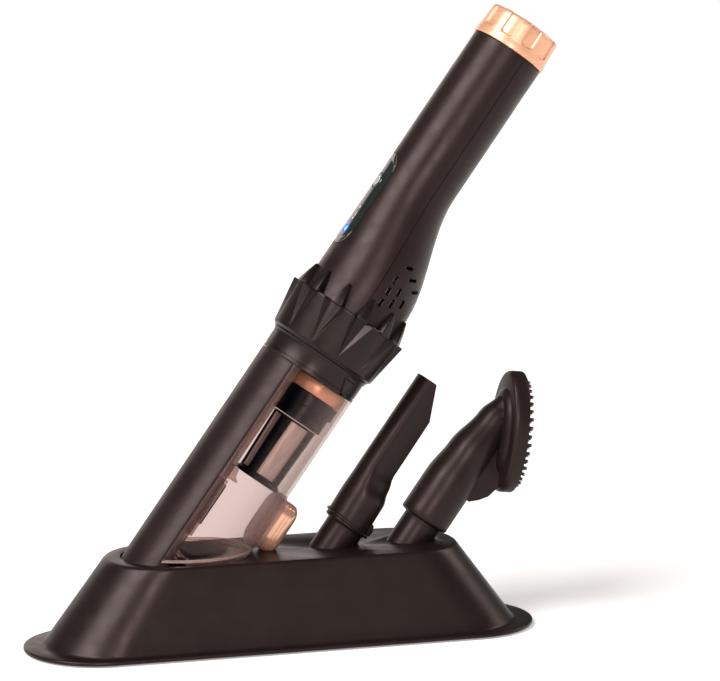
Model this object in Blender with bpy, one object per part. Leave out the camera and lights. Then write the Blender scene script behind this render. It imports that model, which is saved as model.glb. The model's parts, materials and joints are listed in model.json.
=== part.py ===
"""Cordless wand vacuum in its storage stand, with a crevice nozzle and a dusting brush.

Metres, +Z up, the stand on the ground at Z = 0. The vacuum and both tools lean by LEAN towards +X.
Their own frames have z along the tube, x on the dust-cup side and y across.
"""

import math

import bmesh
import bpy
from mathutils import Matrix, Vector

MM = 0.001
TURN = 2 * math.pi
FIT = 0.3 * MM  # gap between pieces that touch

# Stand
LEAN = math.radians(35.6)
STAND_HEIGHT = 49.5 * MM
STAND_END_SPREAD = 34.5 * MM
STAND_WALL_SPREAD = 5.5 * MM
FLANGE_END = 10.5 * MM
FLANGE_SIDE = 3.2 * MM
FLANGE_THICK = 2.5 * MM
STAND_WALL = 2.6 * MM
TOP_WALL = 2.5 * MM
TOP_FILLET = 1.6 * MM
TOP_RIM = 2.6 * MM
FOOT_HEIGHT = 1.7 * MM
FOOT_RADIUS = 6 * MM
FLOOR_GAP = 1.0 * MM
BASE_THICK = 2.0 * MM
BOSS_RADIUS = 4 * MM
BOSS_HEIGHT = 14 * MM
SCREW_RADIUS = 1.2 * MM
SCREW_HEAD_RADIUS = 2.6 * MM
SCREW_HEAD_HEIGHT = 1.4 * MM
SCREW_LENGTH = 9 * MM
CRADLE_WALL = 2.2 * MM
CRADLE_TOP_BELOW = 11.5 * MM
WELL_FROM_END = 9.43 * MM  # from the end of the stand's top to the tube
WELL_PLAY = 0.8 * MM  # round the tube
WELL_BEHIND = 3 * MM  # from the tube's edge to the well's far end, past the latch
TOOL_FROM_WELL = 17.32 * MM
TOOL_PITCH = 44.2 * MM
BRUSH_FROM_END = 24.4 * MM

# Tube, housing and handle
BODY_RADIUS = 28.6 * MM
SHELL_WALL = 2.2 * MM
NOZZLE_LENGTH = 60 * MM
CUP_LENGTH = 117.5 * MM
NECK_HEIGHT = 12.5 * MM
COLLAR_HEIGHT = 27 * MM
HOUSING_BARE = 13 * MM
FLARE_LENGTH = 70 * MM
FLARE_RINGS = 5
GRIP_SPARE = 12 * MM  # room above the cells for the leads
HANDLE_RADIUS = 20.8 * MM
CAP_HEIGHT = 17.5 * MM
CAP_PROUD = 0.8 * MM
CAP_TAPER = 0.8 * MM
CAP_GRIPS = 10

# Duct and dust cup
DUCT_HALF_ANGLE = math.radians(52)
DUCT_WALL = 2.0 * MM
DUCT_DEPTH = 19.1 * MM
DUCT_FLAT = 14 * MM
CUP_WALL = 1.8 * MM
MOUTH_SLANT = math.radians(19)
OUTLET_LOW = 46 * MM
OUTLET_HEIGHT = 8 * MM
DOOR_THICK = 2.0 * MM
DOOR_DROP = 0.9 * MM  # door's underside below the stand's top plane
SEAL_THICK = 1.6 * MM
HINGE_PIN_RADIUS = 1.0 * MM
HINGE_PIN_LENGTH = 26 * MM
HINGE_EAR = 2.0 * MM
KNUCKLE_RADIUS = 1.9 * MM
LATCH_ABOVE_RIM = 3.52 * MM  # from the stand's top plane, where it leaves the tube, to the latch
LATCH_HEIGHT = 30 * MM
LATCH_WIDTH = 16 * MM
LATCH_PROUD = 10.9 * MM
LATCH_TRAVEL = 2.0 * MM
SPRING_BORE = 6 * MM  # depth of the seat in the latch's back
SPRING_RADIUS = 3.2 * MM
SPRING_WIRE = 0.35 * MM
SPRING_TURNS = 4
POCKET_WALL = 1.3 * MM
POCKET_MARGIN = 1.8 * MM

# Filter
FILTER_U = 9.3 * MM
FILTER_RADIUS = 16.6 * MM
FILTER_RING_HEIGHT = 7.6 * MM
FILTER_BAND_HEIGHT = 7.4 * MM
FILTER_LOWER_BAND = 9 * MM
FILTER_CONE_LENGTH = 36 * MM
FILTER_CONE_TOP = 13.3 * MM
FILTER_CONE_LOW = 12.2 * MM
FILTER_DISC_HEIGHT = 2.5 * MM
FILTER_RIBS = 8
FILTER_PLAY = 0.8 * MM  # round the filter where it lifts out of the neck
CUP_SEAL_THICK = 1.2 * MM
PLEATS = 16

# Collar
COLLAR_TOP_PROUD = 6.7 * MM
COLLAR_LOW_PROUD = 2.8 * MM
COLLAR_TEETH = 12
COLLAR_PHASE = math.radians(-94)
NOTCH_FLOOR_PROUD = 3.0 * MM
NOTCH_HALF_WIDTH = 7 * MM
NOTCH_FLOOR_HALF = 3.7 * MM
FIN_HEIGHT = 12.5 * MM
FIN_WIDTH = 8.6 * MM
FIN_PROUD = 3.2 * MM
CATCH_ANGLE = math.radians(61)
CATCH_HEIGHT = 9 * MM
CATCH_WIDTH = 9 * MM
CATCH_TRAVEL = 1.2 * MM

# Fan and motor
IMPELLER_RADIUS = 21 * MM
IMPELLER_HEIGHT = 8 * MM
BLADES = 9
MOTOR_RADIUS = 17.5 * MM
MOTOR_LENGTH = 40 * MM
SHAFT_RADIUS = 1.6 * MM
PLATE_VENTS = 5

# Battery, board and controls
CELL_RADIUS = 8.5 * MM
CELL_LENGTH = 67 * MM
HOLDER_THICK = 1.8 * MM
BOARD_THICK = 1.6 * MM
PANEL_HALF_ANGLE = math.radians(23)
PANEL_LENGTH = 58 * MM
PANEL_LIFT = 14.5 * MM
PANEL_THICK = 1.2 * MM
BUTTON_RADIUS = 5 * MM
BUTTON_TRAVEL = 0.6 * MM
VENT_COLUMNS = 3
VENT_PITCH = 5.9 * MM
VENT_ROW_PITCH = 7.2 * MM
VENT_SLOT_LENGTH = 5.0 * MM
VENT_SLOT_WIDTH = 1.7 * MM
VENT_COLUMN_STEP = 2.8 * MM
PORT_COVER_LENGTH = 24 * MM
PORT_COVER_WIDTH = 17 * MM
COVER_EDGE = 0.5 * MM
COVER_CROWN = 0.95

# Tools
STUB_RADIUS = 10.9 * MM
STUB_DEPTH = 34 * MM
SOCKET_WALL = 1.8 * MM
SOCKET_PLAY = 0.4 * MM
TOOL_WALL = 1.8 * MM
CREVICE_BODY_RADIUS = 12.6 * MM
CREVICE_LENGTH = 103.7 * MM
TIP_SLANT = math.radians(29)
BLADE_RADIUS = 10.3 * MM
BLADE_SIDES = 26
BRUSH_BODY_RADIUS = 14.2 * MM
BRUSH_HEAD_LENGTH = 68 * MM
BRUSH_HEAD_WIDTH = 42 * MM
BRUSH_HEAD_THICK = 9 * MM
BRISTLE_LENGTH = 3 * MM

# Stations along the tube, from the stand's top plane
NECK_LOW = CUP_LENGTH
NECK_TOP = NECK_LOW + NECK_HEIGHT
COLLAR_LOW = NECK_TOP + FIT
COLLAR_TOP = COLLAR_LOW + COLLAR_HEIGHT
SHELL_LOW = NECK_TOP + 3 * MM
FLARE_LOW = COLLAR_TOP + HOUSING_BARE
PANEL_LOW = FLARE_LOW + PANEL_LIFT
BOARD_TOP = PANEL_LOW + PANEL_LENGTH - 4 * MM
CELL_LOW = BOARD_TOP + 1 * MM + HOLDER_THICK + FIT
CELL_TOP = CELL_LOW + CELL_LENGTH
SHELL_TOP = CELL_TOP + FIT + HOLDER_THICK + GRIP_SPARE
CAP_LOW = SHELL_TOP + FIT
CAP_TOP = CAP_LOW + CAP_HEIGHT
HANDLE_U = HANDLE_RADIUS - BODY_RADIUS
SPLIT_U = -4 * MM
INNER_RADIUS = BODY_RADIUS - SHELL_WALL
DUCT_FACE_U = -BODY_RADIUS + DUCT_DEPTH
POCKET_U = FILTER_U + FILTER_CONE_LOW + 1.1 * MM  # the latch pocket clears the filter's foot
CAP_RADIUS = HANDLE_RADIUS + CAP_PROUD
TOP_PLANE_TAN = math.tan(LEAN)
CAP_CHAMFER = 1.2 * MM
COLLAR_TOP_RADIUS = BODY_RADIUS + COLLAR_TOP_PROUD
COLLAR_LOW_RADIUS = BODY_RADIUS + COLLAR_LOW_PROUD
NOTCH_FLOOR_RADIUS = BODY_RADIUS + NOTCH_FLOOR_PROUD
LATCH_REACH = BODY_RADIUS + LATCH_PROUD
LATCH_LOW = BODY_RADIUS * TOP_PLANE_TAN + LATCH_ABOVE_RIM

# Along the stand's top, from its low end: the well for the tube and latch, then the two tool holes.
LEVEL = 1 / math.cos(LEAN)  # a leaning piece's reach on a level plane, over its reach across itself
STUB_HOLE_RADIUS = STUB_RADIUS + SOCKET_PLAY
WELL_LENGTH = (BODY_RADIUS + LATCH_REACH) * LEVEL + WELL_BEHIND
TOOLS_LENGTH = TOOL_FROM_WELL + STUB_HOLE_RADIUS * LEVEL + TOOL_PITCH + BRUSH_FROM_END
STAND_TOP_LENGTH = WELL_FROM_END + WELL_LENGTH + TOOLS_LENGTH
STAND_FOOT_LENGTH = STAND_TOP_LENGTH + 2 * STAND_END_SPREAD
BRUSH_X = STAND_TOP_LENGTH / 2 - BRUSH_FROM_END
CREVICE_X = BRUSH_X - TOOL_PITCH
TUBE_PLUNGE_X = WELL_FROM_END + BODY_RADIUS * LEVEL - STAND_TOP_LENGTH / 2

# The stand's middle is set off so that the whole footprint is centred on the origin.
CAP_REACH = (
    TUBE_PLUNGE_X
    + (HANDLE_U + CAP_RADIUS - CAP_TAPER) * math.cos(LEAN)
    + (CAP_TOP - CAP_CHAMFER) * math.sin(LEAN)
)
FLANGE_REACH = STAND_FOOT_LENGTH / 2 + FLANGE_END
STAND_X = (FLANGE_REACH - max(CAP_REACH, FLANGE_REACH)) / 2
STAND_TOP_WIDTH = 2 * (BODY_RADIUS + WELL_PLAY + TOP_RIM)
STAND_FOOT_WIDTH = STAND_TOP_WIDTH + 2 * STAND_WALL_SPREAD


# ---------------------------------------------------------------- scene and materials

def clear_scene():
    for obj in list(bpy.data.objects):
        bpy.data.objects.remove(obj)


def material(name, colour, roughness, metallic=0.0, alpha=1.0):
    made = bpy.data.materials.new(name)
    made.use_nodes = True
    shader = made.node_tree.nodes["Principled BSDF"]
    shader.inputs["Base Color"].default_value = (*colour, 1.0)
    shader.inputs["Roughness"].default_value = roughness
    shader.inputs["Metallic"].default_value = metallic
    shader.inputs["Alpha"].default_value = alpha
    made.diffuse_color = (*colour, alpha)
    return made


clear_scene()
SATIN = material("satin_dark_plastic", (0.022, 0.015, 0.014), 0.42)
GLOSS = material("gloss_panel", (0.015, 0.018, 0.018), 0.12)
GOLD = material("rose_gold", (0.78, 0.40, 0.24), 0.28, metallic=0.9)
CLEAR = material("smoked_clear", (0.80, 0.66, 0.62), 0.08, alpha=0.35)
RUBBER = material("black_rubber", (0.012, 0.012, 0.014), 0.75)
STEEL = material("steel", (0.55, 0.55, 0.56), 0.3, metallic=1.0)
MESH = material("filter_mesh", (0.25, 0.20, 0.19), 0.4, metallic=0.4)
PAPER = material("filter_paper", (0.75, 0.73, 0.70), 0.9)
CELL = material("cell_wrap", (0.05, 0.16, 0.42), 0.45)
BOARD = material("circuit_board", (0.02, 0.12, 0.05), 0.5)
LED = material("blue_led", (0.10, 0.35, 0.9), 0.2)
BRISTLE = material("bristle", (0.012, 0.012, 0.012), 0.8)


def empty(name, location, lean=0.0, parent=None):
    made = bpy.data.objects.new(name, None)
    made.location = location
    made.rotation_euler = (0, lean, 0)
    made.parent = parent
    bpy.context.collection.objects.link(made)
    return made


STAND = empty("stand_frame", (STAND_X, 0, 0))
TUBE = empty("tube_frame", (TUBE_PLUNGE_X, 0, STAND_HEIGHT), LEAN, STAND)
CREVICE = empty("crevice_frame", (CREVICE_X, 0, STAND_HEIGHT), LEAN, STAND)
BRUSH = empty("brush_frame", (BRUSH_X, 0, STAND_HEIGHT), LEAN, STAND)


# ---------------------------------------------------------------- mesh helpers

def finish(name, bm, finish_material, parent, origin=(0, 0, 0)):
    """The mesh as an object of its own, with its origin at the given point of its parent's frame."""
    bmesh.ops.recalc_face_normals(bm, faces=bm.faces)
    bmesh.ops.triangulate(bm, faces=bm.faces)  # lofted quads aren't flat, and a Boolean wants flat faces
    bmesh.ops.translate(bm, verts=bm.verts, vec=-Vector(origin))
    mesh = bpy.data.meshes.new(name)
    bm.to_mesh(mesh)
    bm.free()
    mesh.shade_smooth()
    mesh.set_sharp_from_angle(angle=math.radians(32))
    made = bpy.data.objects.new(name, mesh)
    made.data.materials.append(finish_material)
    made.parent = parent
    made.location = origin
    bpy.context.collection.objects.link(made)
    return made


def helper(obj):
    obj.hide_render = True
    obj.display_type = "WIRE"
    return obj


def boolean(target, operation, others):
    for other in others:
        helper(other)
        change = target.modifiers.new(other.name, "BOOLEAN")
        change.operation = operation
        change.solver = "EXACT"
        change.object = other


def cut(target, *others):
    boolean(target, "DIFFERENCE", others)


def fuse(target, *others):
    boolean(target, "UNION", others)


def add_loft(bm, rings):
    """A closed solid through closed loops that have equally many points."""
    loops = [[bm.verts.new(point) for point in ring] for ring in rings]
    for lower, upper in zip(loops, loops[1:]):
        for i in range(len(lower)):
            j = (i + 1) % len(lower)
            bm.faces.new((lower[i], lower[j], upper[j], upper[i]))
    bm.faces.new(loops[0][::-1])
    bm.faces.new(loops[-1])


def loft(name, rings, finish_material, parent, origin=(0, 0, 0)):
    bm = bmesh.new()
    add_loft(bm, rings)
    return finish(name, bm, finish_material, parent, origin)


def pipe(name, outer, inner, finish_material, parent, origin=(0, 0, 0)):
    """A tube between outer loops and inner loops, open at both ends."""
    bm = bmesh.new()
    walls = [[[bm.verts.new(point) for point in ring] for ring in rings] for rings in (outer, inner)]
    count = len(outer[0])
    for loops in walls:
        for lower, upper in zip(loops, loops[1:]):
            for i in range(count):
                j = (i + 1) % count
                bm.faces.new((lower[i], lower[j], upper[j], upper[i]))
    for end in (0, -1):
        for i in range(count):
            j = (i + 1) % count
            bm.faces.new((walls[0][end][i], walls[0][end][j], walls[1][end][j], walls[1][end][i]))
    return finish(name, bm, finish_material, parent, origin)


def turned(name, profile, finish_material, parent, centre=(0, 0), steps=28, origin=(0, 0, 0)):
    """A closed (radius, height) profile turned about the line through centre along z."""
    bm = bmesh.new()
    rings = []
    for radius, height in profile:
        if radius == 0:
            rings.append([bm.verts.new((centre[0], centre[1], height))])
            continue
        angles = [TURN * i / steps for i in range(steps)]
        rings.append([
            bm.verts.new((centre[0] + radius * math.cos(a), centre[1] + radius * math.sin(a), height))
            for a in angles
        ])
    for first, second in zip(rings, rings[1:] + rings[:1]):
        if len(first) == 1 and len(second) == 1:
            continue
        for i in range(steps):
            j = (i + 1) % steps
            corners = [first[i % len(first)], first[j % len(first)]]
            corners += [second[j % len(second)], second[i % len(second)]]
            bm.faces.new(list(dict.fromkeys(corners)))
    return finish(name, bm, finish_material, parent, origin)


def block(name, low, high, finish_material, parent, origin=(0, 0, 0)):
    bm = bmesh.new()
    size = Vector(high) - Vector(low)
    middle = (Vector(high) + Vector(low)) / 2
    bmesh.ops.create_cube(bm, size=1.0, matrix=Matrix.Translation(middle) @ Matrix.Diagonal((*size, 1)))
    return finish(name, bm, finish_material, parent, origin)


def circle(radius, height, centre_u=0.0, steps=26):
    return [
        (centre_u + radius * math.cos(TURN * i / steps), radius * math.sin(TURN * i / steps), height)
        for i in range(steps)
    ]


def arc(radius, start, end, steps, centre_u=0.0):
    return [
        (
            centre_u + radius * math.cos(start + (end - start) * i / steps),
            radius * math.sin(start + (end - start) * i / steps),
        )
        for i in range(steps + 1)
    ]


def at_height(outline, height):
    return [(u, v, height) for u, v in outline]


def on_slant(outline, offset, slope=TOP_PLANE_TAN, about=0.0):
    """The outline on a plane that rises with u; slope TOP_PLANE_TAN is level when the tube leans."""
    return [(u, v, offset + slope * (u - about)) for u, v in outline]


def stadium(length, width, height, steps=10, centre_x=0.0):
    """A slot outline with round ends, level at the given height."""
    radius = width / 2
    straight = length / 2 - radius
    points = []
    for side, start in ((1, -0.25), (-1, 0.25)):
        for i in range(steps + 1):
            angle = TURN * (start + 0.5 * i / steps)
            points.append((
                centre_x + side * straight + radius * math.cos(angle), radius * math.sin(angle), height
            ))
    return points


def ellipse(half_length, half_width, steps=28):
    return [
        (half_length * math.cos(TURN * i / steps), half_width * math.sin(TURN * i / steps))
        for i in range(steps)
    ]


# ---------------------------------------------------------------- stand

def stand_size(height):
    """Length and width of the stand's outer wall at a height."""
    foot = FLOOR_GAP + FLANGE_THICK
    share = (height - foot) / (STAND_HEIGHT - foot)
    length = STAND_FOOT_LENGTH + (STAND_TOP_LENGTH - STAND_FOOT_LENGTH) * share
    width = STAND_FOOT_WIDTH + (STAND_TOP_WIDTH - STAND_FOOT_WIDTH) * share
    return length, width


def wall_ring(height, inset=0.0):
    length, width = stand_size(height)
    return stadium(length - 2 * inset, width - 2 * inset, height)


def tube_cutter(name, radius, low, high, parent, centre_u=0.0):
    return turned(
        name, [(0, low), (radius, low), (radius, high), (0, high)], SATIN, parent, centre=(centre_u, 0)
    )


def build_stand():
    flange_top = FLOOR_GAP + FLANGE_THICK
    flange = [STAND_FOOT_LENGTH + 2 * FLANGE_END, STAND_FOOT_WIDTH + 2 * FLANGE_SIDE]
    rings = [
        stadium(flange[0], flange[1], FLOOR_GAP),
        stadium(flange[0], flange[1], flange_top - 0.9 * MM),
        stadium(flange[0] - 1.4 * MM, flange[1] - 1.4 * MM, flange_top - 0.3 * MM),
        wall_ring(flange_top, inset=-0.8 * MM),
        wall_ring(flange_top + 0.8 * MM),
        wall_ring(STAND_HEIGHT - TOP_FILLET),
        wall_ring(STAND_HEIGHT - 0.45 * TOP_FILLET, inset=0.22 * TOP_FILLET),
        wall_ring(STAND_HEIGHT, inset=TOP_FILLET),
    ]
    shell = loft("dock_shell", rings, SATIN, STAND)
    hollow = loft(
        "dock_hollow",
        [
            [(x, y, FLOOR_GAP - 1 * MM) for x, y, _ in wall_ring(flange_top, inset=STAND_WALL)],
            wall_ring(flange_top, inset=STAND_WALL),
            wall_ring(STAND_HEIGHT - TOP_WALL, inset=STAND_WALL),
        ],
        SATIN,
        STAND,
    )
    well_low = TUBE_PLUNGE_X - (BODY_RADIUS + WELL_PLAY) / math.cos(LEAN) - 1.2 * MM
    well_high = TUBE_PLUNGE_X + LATCH_REACH / math.cos(LEAN) + WELL_BEHIND
    well_width = 2 * (BODY_RADIUS + WELL_PLAY)
    middle = (well_low + well_high) / 2
    length = well_high - well_low
    well = loft(
        "dock_well",
        [
            stadium(length, well_width, STAND_HEIGHT - 3 * TOP_WALL, centre_x=middle),
            stadium(length, well_width, STAND_HEIGHT + 1 * MM, centre_x=middle),
        ],
        SATIN,
        STAND,
    )
    cut(
        shell,
        hollow,
        well,
        tube_cutter("crevice_hole", STUB_HOLE_RADIUS, -12 * MM, 12 * MM, CREVICE),
        tube_cutter("brush_hole", STUB_HOLE_RADIUS, -12 * MM, 12 * MM, BRUSH),
    )
    boss_low = FOOT_HEIGHT + FIT + BASE_THICK + FIT
    for i, (x, y) in enumerate(screw_places()):
        boss = turned(
            f"dock_boss_{i}",
            [
                (SCREW_RADIUS + FIT, boss_low),
                (BOSS_RADIUS, boss_low),
                (BOSS_RADIUS, boss_low + BOSS_HEIGHT),
                (SCREW_RADIUS + FIT, boss_low + BOSS_HEIGHT),
            ],
            SATIN,
            STAND,
            centre=(x, y),
            steps=10,
        )
        fuse(shell, boss)
    return shell


def screw_places():
    _, width = stand_size(FLOOR_GAP + FLANGE_THICK)
    y = width / 2 - STAND_WALL - BOSS_RADIUS + 0.6 * MM
    x = STAND_FOOT_LENGTH / 2 - width / 2
    return [(sx * x, sy * y) for sx in (-1, 1) for sy in (-1, 1)]


def build_base():
    low = FOOT_HEIGHT + FIT
    length, width = stand_size(FLOOR_GAP + FLANGE_THICK)
    inset = 2 * (STAND_WALL + FIT + 0.3 * MM)
    plate = loft(
        "dock_base_plate",
        [stadium(length - inset, width - inset, level) for level in (low, low + BASE_THICK)],
        SATIN,
        STAND,
    )
    for i, (x, y) in enumerate(screw_places()):
        bore = turned(
            f"base_bore_{i}",
            [
                (0, low - 1 * MM),
                (SCREW_HEAD_RADIUS + FIT, low - 1 * MM),
                (SCREW_HEAD_RADIUS + FIT, low + 1.0 * MM),
                (SCREW_RADIUS + FIT, low + 1.0 * MM),
                (SCREW_RADIUS + FIT, low + BASE_THICK + 1 * MM),
                (0, low + BASE_THICK + 1 * MM),
            ],
            SATIN,
            STAND,
            centre=(x, y),
            steps=10,
        )
        cut(plate, bore)
        head_top = low + 0.7 * MM
        turned(
            f"dock_screw_{i + 1}",
            [
                (0, head_top - SCREW_HEAD_HEIGHT),
                (SCREW_HEAD_RADIUS, head_top - SCREW_HEAD_HEIGHT),
                (SCREW_HEAD_RADIUS, head_top),
                (SCREW_RADIUS, head_top),
                (SCREW_RADIUS, head_top + SCREW_LENGTH),
                (0, head_top + SCREW_LENGTH + 1 * MM),
            ],
            STEEL,
            STAND,
            centre=(x, y),
            steps=10,
        )
        turned(
            f"dock_foot_{i + 1}",
            [
                (0, 0),
                (FOOT_RADIUS - 0.5 * MM, 0),
                (FOOT_RADIUS, 0.6 * MM),
                (FOOT_RADIUS, FOOT_HEIGHT),
                (0, FOOT_HEIGHT),
            ],
            RUBBER,
            STAND,
            centre=(x * 1.17, y * 0.6),
            steps=14,
        )


def duct_outline(grow=0.0, inner_wall=0.0):
    """The duct's D section, grown outwards, or shrunk by a wall for its bore."""
    radius = BODY_RADIUS + grow - inner_wall
    half = DUCT_HALF_ANGLE + (grow - 1.04 * inner_wall) / BODY_RADIUS
    face = DUCT_FACE_U + grow - inner_wall
    flat = DUCT_FLAT + 0.5 * (grow - inner_wall)
    outline = arc(radius, math.pi - half, math.pi + half, 12)
    return outline + [(face, -flat), (face, flat)]


def mouth_offset(depth):
    """Height of the nozzle's mouth plane where u is zero, for a mouth whose far edge is at -depth."""
    return -depth + BODY_RADIUS * math.tan(MOUTH_SLANT)


def build_cradle():
    play = 0.5 * MM
    floor = FOOT_HEIGHT + 2 * FIT + BASE_THICK
    low = -(STAND_HEIGHT - floor) / math.cos(LEAN)
    top = -CRADLE_TOP_BELOW / math.cos(LEAN)
    grown = duct_outline(grow=play + CRADLE_WALL)
    cradle = loft("nozzle_cradle", [on_slant(grown, low), on_slant(grown, top)], RUBBER, TUBE)
    seat = duct_outline(grow=play)
    pocket = loft(
        "cradle_pocket",
        [
            on_slant(seat, mouth_offset(NOZZLE_LENGTH) - FIT, math.tan(MOUTH_SLANT)),
            on_slant(seat, top + 5 * MM),
        ],
        RUBBER,
        TUBE,
    )
    cut(cradle, pocket)


def build_socket(name, parent):
    top = -(TOP_WALL + FIT) / math.cos(LEAN)
    inner = STUB_HOLE_RADIUS
    outer = inner + SOCKET_WALL
    low = -STUB_DEPTH - 2 * MM
    outline = [(u, v) for u, v, _ in circle(outer, 0, steps=24)]
    sleeve = loft(name, [at_height(outline, low), on_slant(outline, top)], SATIN, parent)
    cut(sleeve, tube_cutter(name + "_bore", inner, low + 1.7 * MM, 20 * MM, parent))


# ---------------------------------------------------------------- dust cup and nozzle

def build_duct():
    outer = duct_outline()
    inner = duct_outline(inner_wall=DUCT_WALL)
    slope = math.tan(MOUTH_SLANT)
    low = mouth_offset(NOZZLE_LENGTH)
    top = NECK_LOW - FIT
    duct = pipe(
        "nozzle_duct",
        [on_slant(outer, low, slope), at_height(outer, top)],
        [on_slant(inner, low, slope), at_height(inner, top)],
        SATIN,
        TUBE,
    )
    outlet = block(
        "duct_outlet",
        (DUCT_FACE_U - 2 * DUCT_WALL, -DUCT_FLAT + 3 * MM, OUTLET_LOW),
        (DUCT_FACE_U + DUCT_WALL, DUCT_FLAT - 3 * MM, OUTLET_LOW + OUTLET_HEIGHT),
        SATIN,
        TUBE,
    )
    cut(duct, outlet)
    hinge = door_hinge()
    for side in (-1, 1):
        middle = side * (HINGE_PIN_LENGTH - HINGE_EAR) / 2
        place = (hinge[0], middle, hinge[2])
        ear = turned_across(f"hinge_ear_{side}", place, KNUCKLE_RADIUS, HINGE_EAR)
        root = block(
            f"hinge_ear_root_{side}",
            (DUCT_FACE_U - DUCT_WALL / 2, middle - HINGE_EAR / 2, hinge[2] - 0.9 * KNUCKLE_RADIUS),
            (hinge[0], middle + HINGE_EAR / 2, hinge[2] + 0.9 * KNUCKLE_RADIUS),
            SATIN,
            TUBE,
        )
        fuse(duct, ear, root)
    cut(duct, turned_across("hinge_ear_bore", hinge, HINGE_PIN_RADIUS + FIT, HINGE_PIN_LENGTH + 4 * MM))


def cup_bottom():
    """Offset of the cup's bottom rim plane, just above the closed door."""
    return (-DOOR_DROP + DOOR_THICK + FIT) / math.cos(LEAN)


def latch_box(margin):
    low = LATCH_LOW - POCKET_MARGIN - margin
    high = LATCH_LOW + LATCH_HEIGHT + POCKET_MARGIN + margin
    half = LATCH_WIDTH / 2 + POCKET_MARGIN + margin
    return low, high, half


def build_cup():
    half = math.pi - DUCT_HALF_ANGLE - FIT / BODY_RADIUS * 2
    outline = arc(BODY_RADIUS, -half, half, 26)
    inner_half = half - 1.6 * MM / BODY_RADIUS
    outline += arc(BODY_RADIUS - CUP_WALL, inner_half, -inner_half, 26)
    cup = loft(
        "dust_cup", [on_slant(outline, cup_bottom()), at_height(outline, NECK_LOW - FIT)], CLEAR, TUBE
    )
    low, high, width = latch_box(FIT)
    window = block(
        "latch_window", (15 * MM, -width, low), (BODY_RADIUS + 5 * MM, width, high), CLEAR, TUBE
    )
    cut(cup, window)


def build_latch():
    low, high, half = latch_box(0)
    inner_u = POCKET_U
    outer_u = BODY_RADIUS + 0.6 * MM
    pocket = block("latch_pocket", (inner_u, -half, low), (outer_u, half, high), CLEAR, TUBE)
    hollow = block(
        "pocket_hollow",
        (inner_u + POCKET_WALL, -half + POCKET_WALL, low + POCKET_WALL),
        (outer_u + 5 * MM, half - POCKET_WALL, high - POCKET_WALL),
        CLEAR,
        TUBE,
    )
    cut(pocket, hollow)
    floor_u = inner_u + POCKET_WALL
    stem_u = floor_u + LATCH_TRAVEL + 2 * FIT
    middle = LATCH_LOW + LATCH_HEIGHT / 2
    outline = stadium(LATCH_HEIGHT, LATCH_WIDTH, 0)
    rings = [
        [(stem_u, y, middle + x) for x, y, _ in outline],
        [(LATCH_REACH - 2.2 * MM, y, middle + x) for x, y, _ in outline],
        [(LATCH_REACH - 0.6 * MM, y * 0.88, middle + x * 0.93) for x, y, _ in outline],
        [(LATCH_REACH, y * 0.62, middle + x * 0.8) for x, y, _ in outline],
    ]
    latch = loft("bin_latch", rings, GOLD, TUBE, origin=(stem_u, 0, middle))
    seat = turned(
        "spring_seat",
        [
            (0, -LATCH_TRAVEL),
            (SPRING_RADIUS + 3 * SPRING_WIRE, -LATCH_TRAVEL),
            (SPRING_RADIUS + 3 * SPRING_WIRE, SPRING_BORE),
            (0, SPRING_BORE),
        ],
        GOLD,
        TUBE,
        steps=16,
    )
    seat.data.transform(Matrix.Rotation(math.pi / 2, 4, "Y"))
    seat.location = (stem_u, 0, middle)
    cut(latch, seat)
    coil(
        "bin_latch_spring",
        (floor_u + FIT, 0, middle),
        stem_u + SPRING_BORE - LATCH_TRAVEL - FIT,
        SPRING_RADIUS,
        SPRING_WIRE,
        SPRING_TURNS,
    )


def coil(name, start, end_u, radius, wire, turns, sides=5, steps=9):
    """A compression spring along u, as one closed tube."""
    bm = bmesh.new()
    count = turns * steps
    travel = end_u - start[0] - 2 * wire
    rings = []
    for i in range(count + 1):
        angle = TURN * i / steps
        across = Vector((0, math.cos(angle), math.sin(angle)))
        centre = Vector(start) + Vector((wire + travel * i / count, 0, 0)) + across * radius
        rings.append([
            centre
            + across * wire * math.cos(TURN * j / sides)
            + Vector((1, 0, 0)) * wire * math.sin(TURN * j / sides)
            for j in range(sides)
        ])
    add_loft(bm, rings)
    return finish(name, bm, STEEL, TUBE, origin=start)


def door_hinge():
    """The hinge pin's place in the tube's frame."""
    u = DUCT_FACE_U + 2.2 * MM
    offset = (-DOOR_DROP + DOOR_THICK / 2) / math.cos(LEAN)
    return (u, 0, offset + TOP_PLANE_TAN * u)


def door_outline(radius, from_u):
    half = math.acos(from_u / radius)
    return arc(radius, -half, half, 24)


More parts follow.
